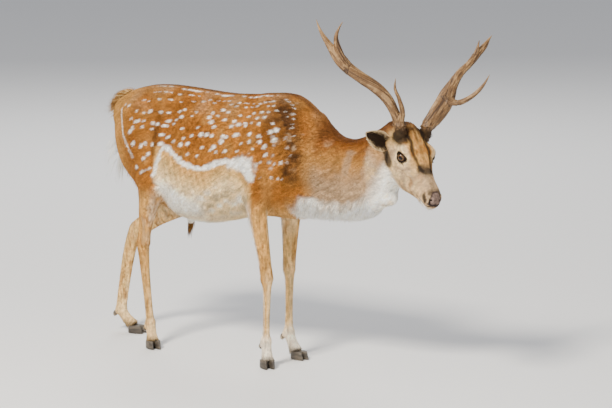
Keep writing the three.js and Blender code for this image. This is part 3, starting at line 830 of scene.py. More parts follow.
def lie(p):
    """The way the coat lies at each point: from nose to tail, and down the limbs."""
    x, z = p[:, 0], p[:, 2]
    q = to_head(p)
    flow = mix(np.array([-0.8, 0, -0.5]), np.array([-1.0, 0, -0.12]), step(700, 870, z))
    legs = step(600, 470, z) * (1 - step(430, 520, x))
    rump = step(-230, -350, x) * step(860, 800, z)
    flow = mix(flow, np.array([-0.12, 0, -1.0]), np.maximum(legs, rump))
    flow = mix(flow, np.array([-0.82, 0, -0.55]), step(400, 560, x))
    on_face = -HEAD_TURN[:, 0] - 0.25 * step(10, -60, q[:, 2])[:, None] * HEAD_TURN[:, 2]
    return unit(mix(flow, on_face, step(-70, 20, q[:, 0]) * (x > HEAD_FROM)))


def make_spots():
    """Every spot as its middle, the way it is drawn out, its half sizes and its strength."""
    rng = np.random.default_rng(SPOT_SEED)
    spots = []
    for side in WORDS:
        for guide, count, length, width, strength in SPOT_ROWS:
            u = (np.arange(count) + 0.5 + rng.uniform(-0.28, 0.28, count)) / count * (len(guide) - 1)
            for x, angle in smooth_rows(guide, u, 0.3):
                at = trunk_point(x + rng.normal(0, 3), angle + rng.normal(0, 1.6), side)
                along = unit(lie(at[None, :])[0] * [1, 1, 0.3] + np.array([0, 0, -0.62 * step(-140, 0, x)]))
                size, rounder = rng.uniform(0.72, 1.22), 1 + 0.25 * step(-120, -200, x)
                halves = 0.6 * length * size / rounder, 0.82 * width * size * rounder
                spots.append((at, along, *halves, strength))
    return spots


SPOTS = make_spots()


def body_colours(p, n):
    """Colours of trunk, neck, legs and tail."""
    x, y, z = p.T
    side, flat = np.abs(y), p[:, [0, 2]]
    rough, fine, streaks = noise(p, 60, 1), noise(p, 14, 2), noise(p * [0.35, 1, 1.4], 9, 3)
    lay = Layers(len(p), CHESTNUT)
    lay(RUSTY, 0.55 * step(-0.1, 0.8, rough))
    lay(TAWNY, 0.55 * step(0.1, 0.7, noise(p, 38, 4)))
    # Painted sheen: a grey-fawn haze in patches over the top of the back, where it catches the light.
    lay(GREY_FAWN, 0.3 * step(790, 850, z) * step(0.2, -0.6, rough))
    lay(FAWN, 0.7 * step(-250, -380, x))
    # Painted shade on the shoulder's front with grey flecks, painted shade in the fold and a rusty hollow
    # before the haunch, dark spine.
    middle = np.interp(z, [600, 660, 700, 760, 860], [418, 402, 420, 402, 362])
    shoulder = bell(x - middle + 14 * rough + 5 * fine, 50) * step(585, 660, z) * step(905, 850, z)
    shoulder = shoulder + 0.45 * bell(x - 318, 40) * step(700, 800, z)
    lay(DARK_BROWN, 0.95 * shoulder * (0.9 + 0.35 * fine))
    flecks = step(0.35, 0.75, noise(p * [0.8, 1, 1.3], 15, 6)) * bell(x - 405, 62) * step(640, 720, z)
    lay(GREY_FAWN, 0.6 * flecks * step(900, 860, z))
    # Painted shade in the fold before the haunch.
    lay(DARK_BROWN, 0.6 * bell(x + 150 + 0.1 * (z - 700), 22) * step(650, 700, z) * step(850, 780, z))
    lay(RUSTY, 0.55 * bell(x + 128, 55) * bell(z - 760, 60))
    lay(SPINE_BROWN, 0.85 * step(22, 6, side) * step(780, 860, z))
    # Neck: rusty above, tawny sides, grey-fawn below.
    neck = step(436, 490, x)
    lay(TAWNY, 0.85 * neck)
    nape = step(40, 8, side) * step(700, 760, z)
    lay(RUSTY, neck * np.maximum(nape, 0.95 * step(-50, 20, z - 750 + 24 * rough + 10 * fine)))
    lay(DARK_BROWN, 0.75 * neck * step(-10, 40, z - 750 + 24 * rough))
    lay(GREY_FAWN, 0.8 * neck * step(715, 610, z + 16 * rough + 8 * fine))
    dapple = step(0.1, 0.55, noise(p * [0.7, 1, 1.2], 24, 9)) * step(620, 660, z) * step(780, 735, z)
    lay(GREY_FAWN, 0.5 * neck * dapple)
    lay(TAWNY, 0.55 * bell(x - 462, 20) * step(820, 700, z))
    # The paler belly under the white line of the flank, and its grey mottles.
    low = height_at(x, BELLY_LINE) - z
    below = step(2, -8, 5 * fine - low) * step(-160, -140, x) * step(275, 245, x)
    lay(FAWN, below)
    lay(SAND, below * step(10, 60, low + 12 * rough))
    lay(CREAM, below * step(50, 100, low + 20 * rough))
    lay(WHITE, 0.85 * below * step(95, 140, low + 14 * rough) * step(60, -10, x))
    patches = noise(p * [0.8, 1, 1.1], 26, 13)
    lay(MOTTLE, 0.75 * below * step(70, 110, low) * step(0.0, 0.4, patches + 0.3 * streaks) * step(0, 70, x))
    lay(WHITE, 0.8 * below * step(60, 110, low) * step(-0.1, -0.4, patches) * step(-20, 60, x))
    # White lines, ragged along the hair.
    wobble = 1 + 0.28 * fine
    ragged = flat + np.column_stack([4 * fine, 5 * noise(p * [1, 0, 0.3], 7, 12)])
    for path, widths in WHITE_LINES:
        lay(WHITE, step(1.35, 0.6, path_distance(ragged, path, widths) * wobble) * (side > 60))
    lay(WHITE, 0.85 * step(5, 2.5, path_distance(flat, RUMP_LINE) * wobble + 2 * rough) * (side > 55))
    # Pale undersides.
    lay(CREAM, 0.9 * step(-0.55, -0.9, n[:, 2]) * step(440, 470, z))
    throat = z - height_at(x, THROAT_LINE) + 12 * fine + 10 * rough
    lay(WHITE, step(16, -20, throat) * step(390, 430, x) * step(480, 530, z))
    lay(WHITE, step(120, 60, side) * step(560, 520, z) * step(350, 400, x))
    # Dotted white line on each side of the spine.
    dots = noise(p * [1, 0, 0] + [0, 40, 0] * np.sign(y)[:, None], 11, 5)
    dots = step(-0.15, 0.3, dots + 0.4 * rough) * step(-255, -200, x) * step(310, 280, x)
    lay(WHITE, 0.95 * dots * bell(side - 25 - 5 * rough - 3 * fine, 3.6) * step(800, 850, z))
    shown_share = 1 - step(0.2, 0.7, below)
    for at, along, length, width, strength in SPOTS:
        near = (np.abs(x - at[0]) < 24) & (np.abs(z - at[2]) < 24) & (y * at[1] > 0)
        if near.any():
            d = p[near] - at
            d = d - (d * n[near]).sum(1, keepdims=True) * n[near]
            reach = d @ along
            across = np.sqrt(np.maximum((d * d).sum(1) - reach**2, 0))
            f = np.hypot(reach / length, across / width) * (1 + 0.22 * fine[near])
            lay.colour[near] = mix(lay.colour[near], WHITE, strength * step(1.25, 0.7, f) * shown_share[near])
    leg_colours(p, n, lay)
    return lay.colour


def limb_share(p):
    """1 on the limbs below the body, 0 on the belly between them."""
    x, z = p[:, 0], p[:, 2]
    fore = step(205, 240, x) * np.maximum(step(400, 360, x), step(500, 470, z))
    return step(575, 500, z) * np.maximum(step(-125, -165, x), fore)


def leg_colours(p, n, lay):
    """Fawn outside, pale inside and behind, darker round the knees and hocks."""
    x, y, z = p.T
    rough, fine, strands = noise(p, 40, 7), noise(p, 9, 8), noise(p * [1, 1, 0.25], 6, 15)
    on_leg, fore = limb_share(p), x > 60
    on_hind = on_leg * ~fore
    lay(FAWN, 0.9 * on_leg)
    lay(SAND, 0.45 * on_leg * step(330, 240, z + 20 * rough))
    pale = on_leg * step(0.0, -0.5, n[:, 1] * np.sign(y) + 0.3 * rough)
    lay(SAND, 0.8 * pale)
    lay(CREAM, 0.6 * pale * step(380, 460, z + 20 * rough))
    # White behind the forelegs; on the front of the hind legs' tops, in the groin, it is kept weak as painted
    # shade.
    behind = step(0.1, 0.6, -n[:, 0]) * fore + step(0.2, 0.7, n[:, 0]) * ~fore * step(400, 450, z)
    lay(WHITE, (0.25 + 0.4 * fore) * on_leg * behind * step(-0.2, 0.4, rough + 0.5))
    lay(CREAM, 0.6 * on_leg * fore * step(0.25, 0.75, n[:, 0] + 0.2 * fine) * step(360, 260, z))
    lay(CREAM, 0.5 * on_hind * step(230, 130, z) * step(0.2, 0.7, np.abs(n[:, 0]) + 0.3 * fine))
    lay(GREY_FAWN, 0.5 * on_hind * step(-0.1, 0.5, noise(p * [1, 1, 0.4], 16, 14)) * step(300, 380, z))
    warm = on_leg * (1 - 0.65 * fore * step(340, 260, z))
    lay(TAWNY, 0.6 * warm * step(-0.1, 0.6, strands + 0.4 * rough))
    lay(RUSTY, 0.35 * warm * step(0.1, 0.7, fine + 0.5 * strands) * step(80, 130, z))
    lay(CREAM, 0.5 * on_leg * step(120, 70, z + 12 * fine))
    lay(WHITE, 0.55 * on_leg * fore * step(130, 70, z + 12 * fine))
    lay(SMOKE, 0.6 * step(46, 30, z))


# Lines of each side of the head, in its own frame.
# Line of the painted shadow that each ear casts below it.
PAINTED_EAR_SHADOW = [[38, 66, -24], [56, 62, -36], [72, 58, -46]]
BROW_LINE = [[84, 46, 24], [100, 54, 33], [122, 54, 32]]
STRIPE = [[50, 28, 58], [71, 29, 61], [92, 25, 60], [124, 31, 48], [158, 26, 36], [180, 22, 29], [194, 16, 27]]
TEAR_SLIT = [[129, 55, 3], [138, 53, -3]]
NOSTRIL_COMMA = [(292, -4), (294, -9), (297, -14), (301, -20)]  # seen from the side


def nose_edge(q):
    """Below zero on the bare nose pad, which runs from above the nostrils to the lip."""
    x, y, z = q.T
    return np.maximum((270 + 0.055 * y**2 + 0.3 * (z + 8) - x) / 12, (-27 - z) / 10)


def lid_mask(q):
    """How dark the lids' bare rims and the slit before the eye are."""
    dark = step(5, 2.5, path_distance(mirrored(q), TEAR_SLIT))
    for side in WORDS:
        along, up, out = eye_axes(q, side)
        rim = step(5.6, 3.2, np.abs(up) - lid_gap(along, longer=4))
        dark = np.maximum(dark, rim * (np.abs(along) < OPENING[0] + 5) * (out > 0))
    return dark


def head_colours(p):
    """Colours of the head, worked out in its own frame."""
    q = to_head(p)
    x, y, z = q.T
    side, both = np.abs(y), mirrored(q)
    rough, fine, strands = noise(q, 30, 21), noise(q, 7, 22), noise(q * [0.3, 1.4, 0.6], 8, 24)

    def round_place(at, sizes):
        return np.linalg.norm((both - at) / sizes, axis=1)

    lay = Layers(len(p), GREY_FAWN)
    lay(TAWNY, 0.5 * step(-0.3, 0.5, rough))
    lay(SAND, 0.5 * step(-0.1, -0.7, rough + 0.4 * fine))
    lay(TAWNY, 0.7 * step(70, -20, x) * step(-110, -40, z))
    lay(MUZZLE_PALE, 0.75 * step(185, 240, x))
    lay(SAND, 0.75 * step(1.2, 0.5, round_place([30, 50, 25], [40, 40, 34]) + 0.3 * rough))
    # Golden forehead with a darker middle, rusty poll, smoky bridge.
    top = step(4, 40, z + 0.1 * (x - 100) + 8 * rough + 4 * fine) * step(56, 30, side + 6 * rough)
    lay(FAWN, 0.9 * top * step(204, 150, x + 12 * rough))
    lay(CHESTNUT, 0.75 * top * step(190, 140, x + 12 * rough) * step(-0.4, 0.3, rough + fine))
    lay(RUSTY, 0.8 * step(14, -34, x) * step(-50, 10, z + 14 * rough))
    lay(DARK_BROWN, 0.5 * top * step(0.05, 0.55, strands) * step(185, 130, x))
    centre = step(9, 2, side + 3 * fine + 3 * strands) * step(20, 60, x) * step(180, 130, x) * step(0, 30, z)
    lay(NEAR_BLACK, 0.35 * centre)
    lay(SMOKE, 0.45 * step(205, 225, x) * step(16, 6, side) * step(-5, 5, z))
    # White jaw and chin, pale ring round the eye and cheek.
    lay(WHITE, 0.9 * step(-66, -96, z + 0.2 * (x - 100) + 10 * rough) * step(30, 80, x))
    lay(WHITE, 0.85 * step(12, 40, x - 226 + 6 * fine) * step(-34, -46, z))
    ring = np.linalg.norm(both - [EYE_AT[0] - 2, EYE_AT[1] + 8, EYE_AT[2] - 1], axis=1)
    lay(CREAM, 0.85 * step(41, 26, ring + 5 * rough))
    lay(CREAM, 0.5 * step(-0.2, 0.4, noise(q * [1.4, 1, 0.5], 11, 25)) * step(60, 100, x) * step(20, -20, z))
    # Painted shadow that each ear casts below it, stripes of the forehead, bridge patch, brow and burr.
    lay(NEAR_BLACK, 0.85 * step(19, 9, path_distance(both, PAINTED_EAR_SHADOW) + 5 * rough))
    lay(NEAR_BLACK, 0.85 * step(9.5, 3.5, path_distance(both, STRIPE) * (1 + 0.25 * fine) + 1.5 * strands))
    bridge = np.hypot((x - 192) / 19, (z - 33 + 0.3 * (x - 190)) / 14) + 0.4 * rough + 0.3 * fine
    lay(NEAR_BLACK, 0.85 * step(1.5, 0.5, bridge) * step(38, 24, side))
    lay(DARK_BROWN, 0.6 * step(9, 3, path_distance(both, BROW_LINE) + 3 * fine))
    pedicle = np.linalg.norm((both - [50, 44, 54]) * [0.85, 1, 1], axis=1)
    lay(NEAR_BLACK, 0.92 * step(40, 22, pedicle + 8 * rough + 4 * fine))
    # Lip patch and nose.
    lip = np.hypot((x - 274 + 0.4 * (z + 16)) / 13, (z + 16) / 13)
    lay(NEAR_BLACK, 0.9 * step(1.5, 0.7, lip + 0.3 * fine) * step(14, 18, side))
    lay(NEAR_BLACK, 0.75 * step(1.4, 0.6, round_place([277, 12, 8], [13, 15, 10]) + 0.3 * fine))
    edge = nose_edge(q)
    lay(SMOKE, 0.6 * step(0.5, 0.1, edge + 0.2 * fine) * step(-10, 0, z))
    pad = step(0.12, -0.1, edge + 0.05 * fine)
    lay(NOSE_BLACK, pad)
    middle = step(-0.15, -0.7, edge + 0.25 * fine) * step(-20, -12, z + 0.3 * side)
    lay(NOSE_PINK, 0.8 * pad * middle * (0.75 + 0.4 * fine))
    # Painted shade in the openings of the nostrils.
    comma = path_distance(q[:, [0, 2]], NOSTRIL_COMMA)
    lay(NEAR_BLACK * 0.6, step(4.2, 2.0, comma) * step(7, 10, side) * step(24, 20, side))
    lay(NEAR_BLACK, lid_mask(q))
    # Painted shade in the crease between the lips.
    lay(NEAR_BLACK, 0.9 * step(2.6, 1.0, mouth_distance(q)))
    return lay.colour


HAIR_LINE = unit([0.85, 0, 0.5])
GRAIN = [(3.0, 0.32, 71), (9.0, 0.22, 72)]  # sizes of the strands, how strong they are, and their seeds


def grain(p):
    """Light and dark strands drawn out along the coat, about 1 on average."""
    limbs = limb_share(p)
    along_body, along_limb = p - 0.78 * (p @ HAIR_LINE)[:, None] * HAIR_LINE, p * [1, 1, 0.25]
    return 1 + sum(
        strength * ((1 - limbs) * noise(along_body, size, seed) + limbs * noise(along_limb, size, seed))
        for size, strength, seed in GRAIN
    )


def coat_colours(p, n):
    """The markings, shared by the skin and by every tuft."""
    q = to_head(p)
    on_head = step(-75, 45, q[:, 0] - 0.35 * (q[:, 2] + 20) + 14 * noise(p, 20, 73)) * (p[:, 0] > HEAD_FROM)
    colour = body_colours(p, n)
    some = on_head > 0
    colour[some] = mix(colour[some], head_colours(p[some]), on_head[some])
    return colour * grain(p)[:, None]


def ear_colours(p, ear):
    """Hollow darkened by painted shade, deepest away from its edge, with pale hair inside; pale rim, and a
    grey-brown back.
    """
    share, over, front, edge = ear.parts(p)
    hollow = step(-0.5, 1.0, front - ear.at(share, 2) * EAR["width"] * edge**2)
    rough = noise(p, 9, 27)
    lay = Layers(len(p), GREY_FAWN)
    lay(TAWNY, 0.6 * step(0.9, 0.2, share))
    # Painted shade in the ear's hollow, deepest away from its edge.
    lay(DARK_BROWN, 0.9 * hollow)
    lay(NEAR_BLACK, 0.85 * hollow * step(0.95, 0.6, edge))
    inner = step(0.55, 0.95, np.abs(over) / EAR["width"] + 0.4 * rough)
    lay(CREAM, 0.8 * hollow * inner * step(0.5, 0.3, share))
    lay(CREAM, 0.8 * step(0.78, 0.97, edge + 0.15 * rough) * step(0.1, 0.3, share))
    return lay.colour


def colour_mesh(mesh, colours):
    """Stores one colour for each vertex."""
    store = mesh.color_attributes.new(COLOUR_NAME, "FLOAT_COLOR", "POINT")
    values = np.ones((len(mesh.vertices), 4), np.float32)
    values[:, :3] = np.clip(colours, 0, 1)
    store.data.foreach_set("color", values.ravel())
    mesh.color_attributes.active_color = store


# ---------------------------------------------------------------- tufts
# Painted shade: each tuft darkens towards its root and down its sides; its crest keeps the full colour and its
# tip is a little lighter.
ROOT_SHADE, MIDDLE_SHADE, TIP_SHADE = 0.86, 0.9, 1.05  # of a tuft's colour; its crest has the full colour
SUNK = 1.0  # how far a tuft's root goes under the skin
WIDEST = 0.38  # share of a tuft's length at which it is widest
PATCH = 0.003  # width of a tuft's place on its map


def scatter(piece, count, rng, weight):
    """Random places over a mesh piece, more of them where weight() is high."""
    mesh = piece.data
    mesh.calc_loop_triangles()
    corners = np.empty(len(mesh.loop_triangles) * 3, np.int32)
    mesh.loop_triangles.foreach_get("vertices", corners)
    corners = corners.reshape(-1, 3)
    points, normals = points_of(mesh), vectors_of(mesh, "normal")
    a, b, c = (points[corners[:, k]] for k in range(3))
    area = np.linalg.norm(np.cross(b - a, c - a), axis=1) / 2
    chance = np.cumsum(area * weight((a + b + c) / 3))
    picked = corners[np.searchsorted(chance, rng.random(count) * chance[-1])].T
    u, v = rng.random((2, count, 1))
    over = u + v > 1
    u, v = np.where(over, 1 - u, u), np.where(over, 1 - v, v)
    shares = (1 - u - v, u, v)
    roots, leaning = (sum(a[i] * share for i, share in zip(picked, shares)) for a in (points, normals))
    return roots, unit(leaning)


def tufts(name, roots, normals, flow, sizes, colours, chart, rng, rings=1, arch=0.55, droop=(0, 0, 0)):
    """A piece of closed tapering tufts. sizes are length, width and height of the tip off the skin.

    Each tuft starts under the skin, rises along an arch and ends in a point.
    colours are one for each tuft, or two, at its root and at its tip.
    chart is each root's place on an unwrap of the skin, where the tuft keeps a small patch.
    """
    count = len(roots)
    length, width, height = (np.asarray(s, float)[:, None] for s in sizes)
    flow = unit(flow - (flow * normals).sum(1, keepdims=True) * normals)
    across = np.cross(normals, flow)

    def along(t):
        rise = height * t**arch - SUNK * (1 - t) ** 4
        return roots + flow * length * t + normals * rise + np.array(droop) * length * t * t

    rows, shades, offsets = [along(0.0)], [ROOT_SHADE], [(-0.5, 0)]
    for k in range(rings):
        t = (WIDEST + k * (1 - WIDEST)) / rings
        share = 1 - 0.55 * t if rings > 1 else 1
        middle, half = along(t), across * width * share / 2
        rows += [middle - half, middle + half, middle + normals * width * 0.3 * share]
        shades += [MIDDLE_SHADE + 0.12 * t, MIDDLE_SHADE + 0.12 * t, 1.0]
        offsets += [(t - 0.5, -0.5), (t - 0.5, 0.5), (t - 0.5, 0)]
    rows.append(along(1.0))
    shades.append(TIP_SHADE)
    offsets.append((0.5, 0))
    last = len(rows) - 1
    far = np.array(offsets)[None, :, :1] + 0.5
    colours = colours[:, None] if colours.ndim == 2 else colours[:, :1] * (1 - far) + colours[:, 1:] * far
    faces = [(0, 3, 1), (0, 2, 3), (0, 1, 2)]
    for a in range(1, last - 3, 3):
        for i, j in ((0, 2), (2, 1), (1, 0)):
            faces += [(a + i, a + j, a + 3 + j), (a + i, a + 3 + j, a + 3 + i)]
    faces += [(last, last - 3, last - 1), (last, last - 1, last - 2), (last, last - 2, last - 3)]
    faces = (np.arange(count)[:, None, None] * len(rows) + np.array(faces)).reshape(-1, 3)
    piece = mesh_piece(name, np.stack(rows, 1).reshape(-1, 3), faces)
    # Each tuft's random tone, times the painted shade along its rows.
    tone = rng.normal(1, 0.11, (count, 1, 1)) * np.array(shades)[None, :, None]
    warmth = 1 + rng.normal(0, 0.025, (count, 1, 1)) * np.array([1, 0, -1])
    colour_mesh(piece.data, (colours * tone * warmth).reshape(-1, 3))
    low, high = chart.min(0), chart.max(0)
    places = (0.01 + 0.98 * (chart - low) / np.maximum(high - low, 1e-6))[:, None] + PATCH * np.array(offsets)
    charted = piece.data.uv_layers.new(name="OFBake")
    places = np.clip(places, 0.002, 0.998).reshape(-1, 2)[faces.ravel()]
    charted.data.foreach_set("uv", places.astype(np.float32).ravel())
    return piece


def dress(piece, material, replaced=()):
    """Gives a piece its material and its body, and hides the nodes that it stands for."""
    piece.data.materials.clear()
    piece.data.materials.append(material)
    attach(piece, "root")
    if replaced:
        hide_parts(*replaced)


# ---------------------------------------------------------------- short coat
COAT_SEED = 5
CHEST = 430  # the neck's coat starts here
EYE_BARE = 2.5  # how far round the opening of the lids no hair grows
# Tufts of each side's trunk pieces and where they lie, and of the other pieces.
TRUNK_PIECES = [("rear", -460, -60, 25500), ("front", -60, CHEST, 27500)]
NECK_TUFTS, HEAD_TUFTS, LEG_TUFTS = 30500, 30000, 9200
# Length, width and height of the tufts.
BODY_TUFT, LEG_LESS, THROAT_MORE, BELLY_MORE = (10.5, 2.1, 1.8), (2.5, 0.7, 0.9), (7, 0.3, 2.2), (3, 0, 0.8)
FACE_LENGTHS = [(-20, 11), (60, 8.5), (180, 6.5), (260, 4.4), (300, 3.0)]  # along the head


def on_head_share(p):
    q = to_head(p)
    return step(-50, -10, q[:, 0] - 0.35 * (q[:, 2] + 20)) * (p[:, 0] > HEAD_FROM)


def is_leg(p):
    return (p[:, 2] < 500) & ((p[:, 0] > 170) | (p[:, 0] < -160)) & ((p[:, 0] < 360) | (p[:, 2] < 470))


def bare_share(p):
    """Where no hair grows: the nose pad and the rims of the lids."""
    q = to_head(p)
    bare = step(0.1, -0.1, nose_edge(q))
    for side in WORDS:
        along, up, out = eye_axes(q, side)
        bare = np.maximum(bare, (np.abs(up) < lid_gap(along, longer=4, taller=EYE_BARE)) & (out > 0))
    return bare * (p[:, 0] > HEAD_FROM)


def coat_sizes(p, n):
    """Length, width and height of short coat at each place."""
    ahead, on_head = to_head(p)[:, 0], on_head_share(p)
    shaggy = step(25, -15, p[:, 2] - height_at(p[:, 0], THROAT_LINE))
    shaggy = shaggy * step(360, 430, p[:, 0]) * step(500, 560, p[:, 2])
    belly = step(-0.3, -0.8, n[:, 2]) * (p[:, 2] > 400)
    changes = ((-limb_share(p), LEG_LESS), (shaggy, THROAT_MORE), (belly, BELLY_MORE))
    sizes = BODY_TUFT + sum(np.outer(*change) for change in changes)
    poll = 1 - 0.35 * step(-160, -50, ahead) * (p[:, 0] > 600) * (1 - on_head)
    face = height_at(ahead, FACE_LENGTHS)
    return mix(sizes * poll[:, None], np.column_stack([face, 0.7 + 0.08 * face, 0.5 + 0.1 * face]), on_head)


def coat_piece(name, skin, count, weight, chart, material, rng):
    """Short coat over the part of the skin that has weight."""
    roots, normals = scatter(skin, count, rng, weight)
    flow = lie(roots) + 0.16 * np.column_stack([noise(roots, 55, 31 + k) for k in range(3)])
    flow = unit(flow + rng.normal(0, 0.07, flow.shape))
    keep = bare_share(roots) < rng.random(count)
    clump = 0.86 + 0.3 * noise(roots, 11, 81)
    spread = [rng.uniform(low, high, count) for low, high in ((0.8, 1.2), (0.8, 1.15), (0.75, 1.08))]
    sizes = coat_sizes(roots, normals) * np.stack([spread[0], spread[1], clump * spread[2]], 1)
    roots, normals, flow, sizes = roots[keep], normals[keep], flow[keep], sizes[keep]
    ends = roots + unit(flow - (flow * normals).sum(1, keepdims=True) * normals) * sizes[:, :1] * 0.85
    colours = np.stack([coat_colours(roots, normals), coat_colours(ends, normals)], 1)
    dress(tufts(name, roots, normals, flow, sizes.T, colours, chart(roots), rng), material)


def trunk_chart(p):
    return np.column_stack([p[:, 0], girth_angle(p)])


def neck_chart(p):
    middle = np.interp(p[:, 0], [row[0] for row in NECK], [row[2] for row in NECK])
    return np.column_stack([p[:, 0] + 0.4 * (p[:, 2] - middle), np.arctan2(p[:, 1], p[:, 2] - middle)])


def head_chart(p):
    q = to_head(p)
    return np.column_stack([q[:, 0], np.arctan2(q[:, 1], q[:, 2] + 28)])


def leg_chart(name):
    def chart(p, loft=leg_loft(name)):
        w, _, side, rise, _ = loft.parts(p)
        return np.column_stack([np.arctan2(side, rise), w])

    return chart


def coat(skin, material):
    """Short coat all over the skin, finer and closer towards the nose."""
    rng = np.random.default_rng(COAT_SEED)

    def cover(name, count, weight, chart):
        coat_piece(f"coat_{name}", skin, count, weight, chart, material, rng)

    def bare_body(p):
        return ~is_leg(p) & (on_head_share(p) < 0.5)

    for side, word in WORDS.items():
        for place, low, high, count in TRUNK_PIECES:

            def on_trunk(p, side=side, low=low, high=high):
                return (p[:, 0] >= low) & (p[:, 0] < high) & (p[:, 1] * side >= 0) & bare_body(p)

            cover(f"{place}_{word}", count, on_trunk, trunk_chart)

    def on_neck(p):
        return ((p[:, 0] >= CHEST) & bare_body(p)) * (1 + 1.6 * step(-200, -50, to_head(p)[:, 0]))

    def on_head(p):
        return (on_head_share(p) >= 0.5) * np.interp(to_head(p)[:, 0], [0, 120, 220, 300], [1, 1.6, 3, 5])

    cover("neck", NECK_TUFTS, on_neck, neck_chart)
    cover("head", HEAD_TUFTS, on_head, head_chart)
    for name in LEGS:

        def on_this(p, name=name):
            fore = (p[:, 0] > 60) == name.startswith("fore")
            return is_leg(p) & fore & ((p[:, 1] > 0) == name.endswith("left"))

        cover(name, LEG_TUFTS, on_this, leg_chart(name))


# ---------------------------------------------------------------- long hair
def near_place(p, at, radius):
    """A soft ball of weight about a place, on both sides of the body."""
    return bell(np.linalg.norm(mirrored(p) - at, axis=1), radius)


def in_tail(p):
    x, y, z = p.T
    return (x < -396) * (np.abs(y) < 24) * (z > 600) * (1 + 2.5 * step(780, 800, z)) * (z < 858)


def on_tail_root(p):
    x, y, z = p.T
    return step(-368, -400, x) * step(40, 20, np.abs(y)) * step(780, 818, z)


def on_tail_end(p):
    x, y, z = p.T
    return (x < -418) * (np.abs(y) < 7) * (z < 690) * (z > 622)


def along_throat(p):
    x, z = p[:, 0], p[:, 2]
    here = step(8, -22, z - height_at(x, THROAT_LINE)) * step(375, 430, x) * step(505, 545, z)
    return here * (on_head_share(p) < 0.6)


def under_belly(p):
    x, z = p[:, 0], p[:, 2]
    middle = (x > -170) * (x < 400) * (z < 620) * (1 - limb_share(p))
    return middle * (z > 440) * (bell(girth_angle(p) + 62, 26) + 0.15)


def behind_limbs(p):
    """The fringe behind the elbows, thighs and forearms."""
    elbow = near_place(p, [212, 100, 560], 52) + 0.8 * near_place(p, [224, 104, 500], 40)
    return elbow + near_place(p, [-270, 100, 590], 55)


def round_burr(p):
    reach = np.linalg.norm(mirrored(to_head(p)) - [49, 45, 50], axis=1)
    return bell(reach - 18, 12) * (p[:, 0] > HEAD_FROM)


def on_poll(p):
    x, y, z = to_head(p).T
    return (p[:, 0] > HEAD_FROM) * bell(x - 30, 34) * step(20, 50, z) * step(44, 30, np.abs(y))


def on_chin(p):
    x, _, z = to_head(p).T
    return (p[:, 0] > HEAD_FROM) * step(225, 250, x) * step(-38, -50, z)


def above_hoof(p):
    return step(52, 40, p[:, 2]) * (p[:, 2] > 24)


# Name, how many, where, the way it hangs, how it bends over its length, and its length,
# width and height off the skin, with how many bends each hair has.
LONG_HAIR = [
    ("hair_tail", 1500, in_tail, [-0.4, 0, -0.9], [0.12, 0, -0.5], (62, 2.4, 12), 3),
    ("hair_tail_root", 2500, on_tail_root, [-0.8, 0, 0.1], [-0.2, 0, -0.25], (44, 1.8, 27), 3),
    ("hair_tail_end", 230, on_tail_end, [-0.3, 0, 1.0], [0, 0, -1.9], (44, 2.3, 68), 5),
    ("hair_throat", 5200, along_throat, [-0.45, 0, -0.9], [0, 0, -0.2], (23, 2.1, 7.5), 2),
    ("hair_belly", 3600, under_belly, [-0.8, 0, -0.6], [0, 0, -0.15], (17, 1.4, 3.2), 2),
    ("hair_limbs", 700, behind_limbs, [-0.7, 0, -0.75], [0, 0, -0.3], (22, 1.2, 6), 2),
    ("hair_burr", 1700, round_burr, None, [0, 0, 0], (15, 1.2, 3), 2),
    ("hair_poll", 1100, on_poll, None, [0, 0, 0], (15, 1.3, 3.5), 2),
    ("hair_chin", 260, on_chin, [-0.2, 0, -1.0], [0, 0, 0.1], (11, 1.0, 6), 2),
    ("hair_hoof", 1000, above_hoof, [0, 0, -1.0], [0, 0, 0], (13, 1.3, 2.4), 2),
]
HAIR_SEED, SHEATH_HAIRS, EAR_SEED = 17, 340, 29


def long_hair(skin, material):
    rng = np.random.default_rng(HAIR_SEED)
    for name, count, where, way, bend, (length, width, height), rings in LONG_HAIR:
        roots, normals = scatter(skin, count, rng, where)
        x, y, z = roots.T
        flow = lie(roots) if way is None else np.tile(unit(way), (count, 1))
        flow = unit(flow + rng.normal(0, 0.14, flow.shape))
        if name.startswith("hair_tail"):
            colours = tail_colours(roots, normals, rng) * rng.uniform(0.75, 1.1, (count, 1))
        else:
            colours = coat_colours(roots, normals)
        lengths = length * rng.uniform(0.6, 1.2, count)
        heights = height * rng.uniform(0.6, 1.1, count)
        if name == "hair_tail":
            lengths *= 0.4 + 0.75 * step(760, 640, z)
            heights *= 0.35 + 0.65 * step(760, 660, z)
        chart = np.column_stack([x + 0.3 * z, y + 0.5 * z])
        sizes = [lengths, width * rng.uniform(0.7, 1.2, count), heights]
        made = tufts(name, roots, normals, flow, sizes, colours, chart, rng, rings, 0.7, bend)
        dress(made, material)
    sheath_brush(material, rng)


def tail_colours(p, n, rng):
    """Golden at the tail's root, brown along its top, white below and at its end."""
    mixed = rng.random(len(p))
    root = step(735, 790, p[:, 2])
    lay = Layers(len(p), WHITE)
    lay(CHESTNUT, 0.85 * step(16, 6, np.abs(p[:, 1])) * step(0.1, -0.4, n[:, 0]) * step(690, 740, p[:, 2]))
    lay(TAWNY, root)
    lay(CHESTNUT, root * (mixed < 0.35))
    lay(SAND, root * (mixed > 0.6))
    return lay.colour


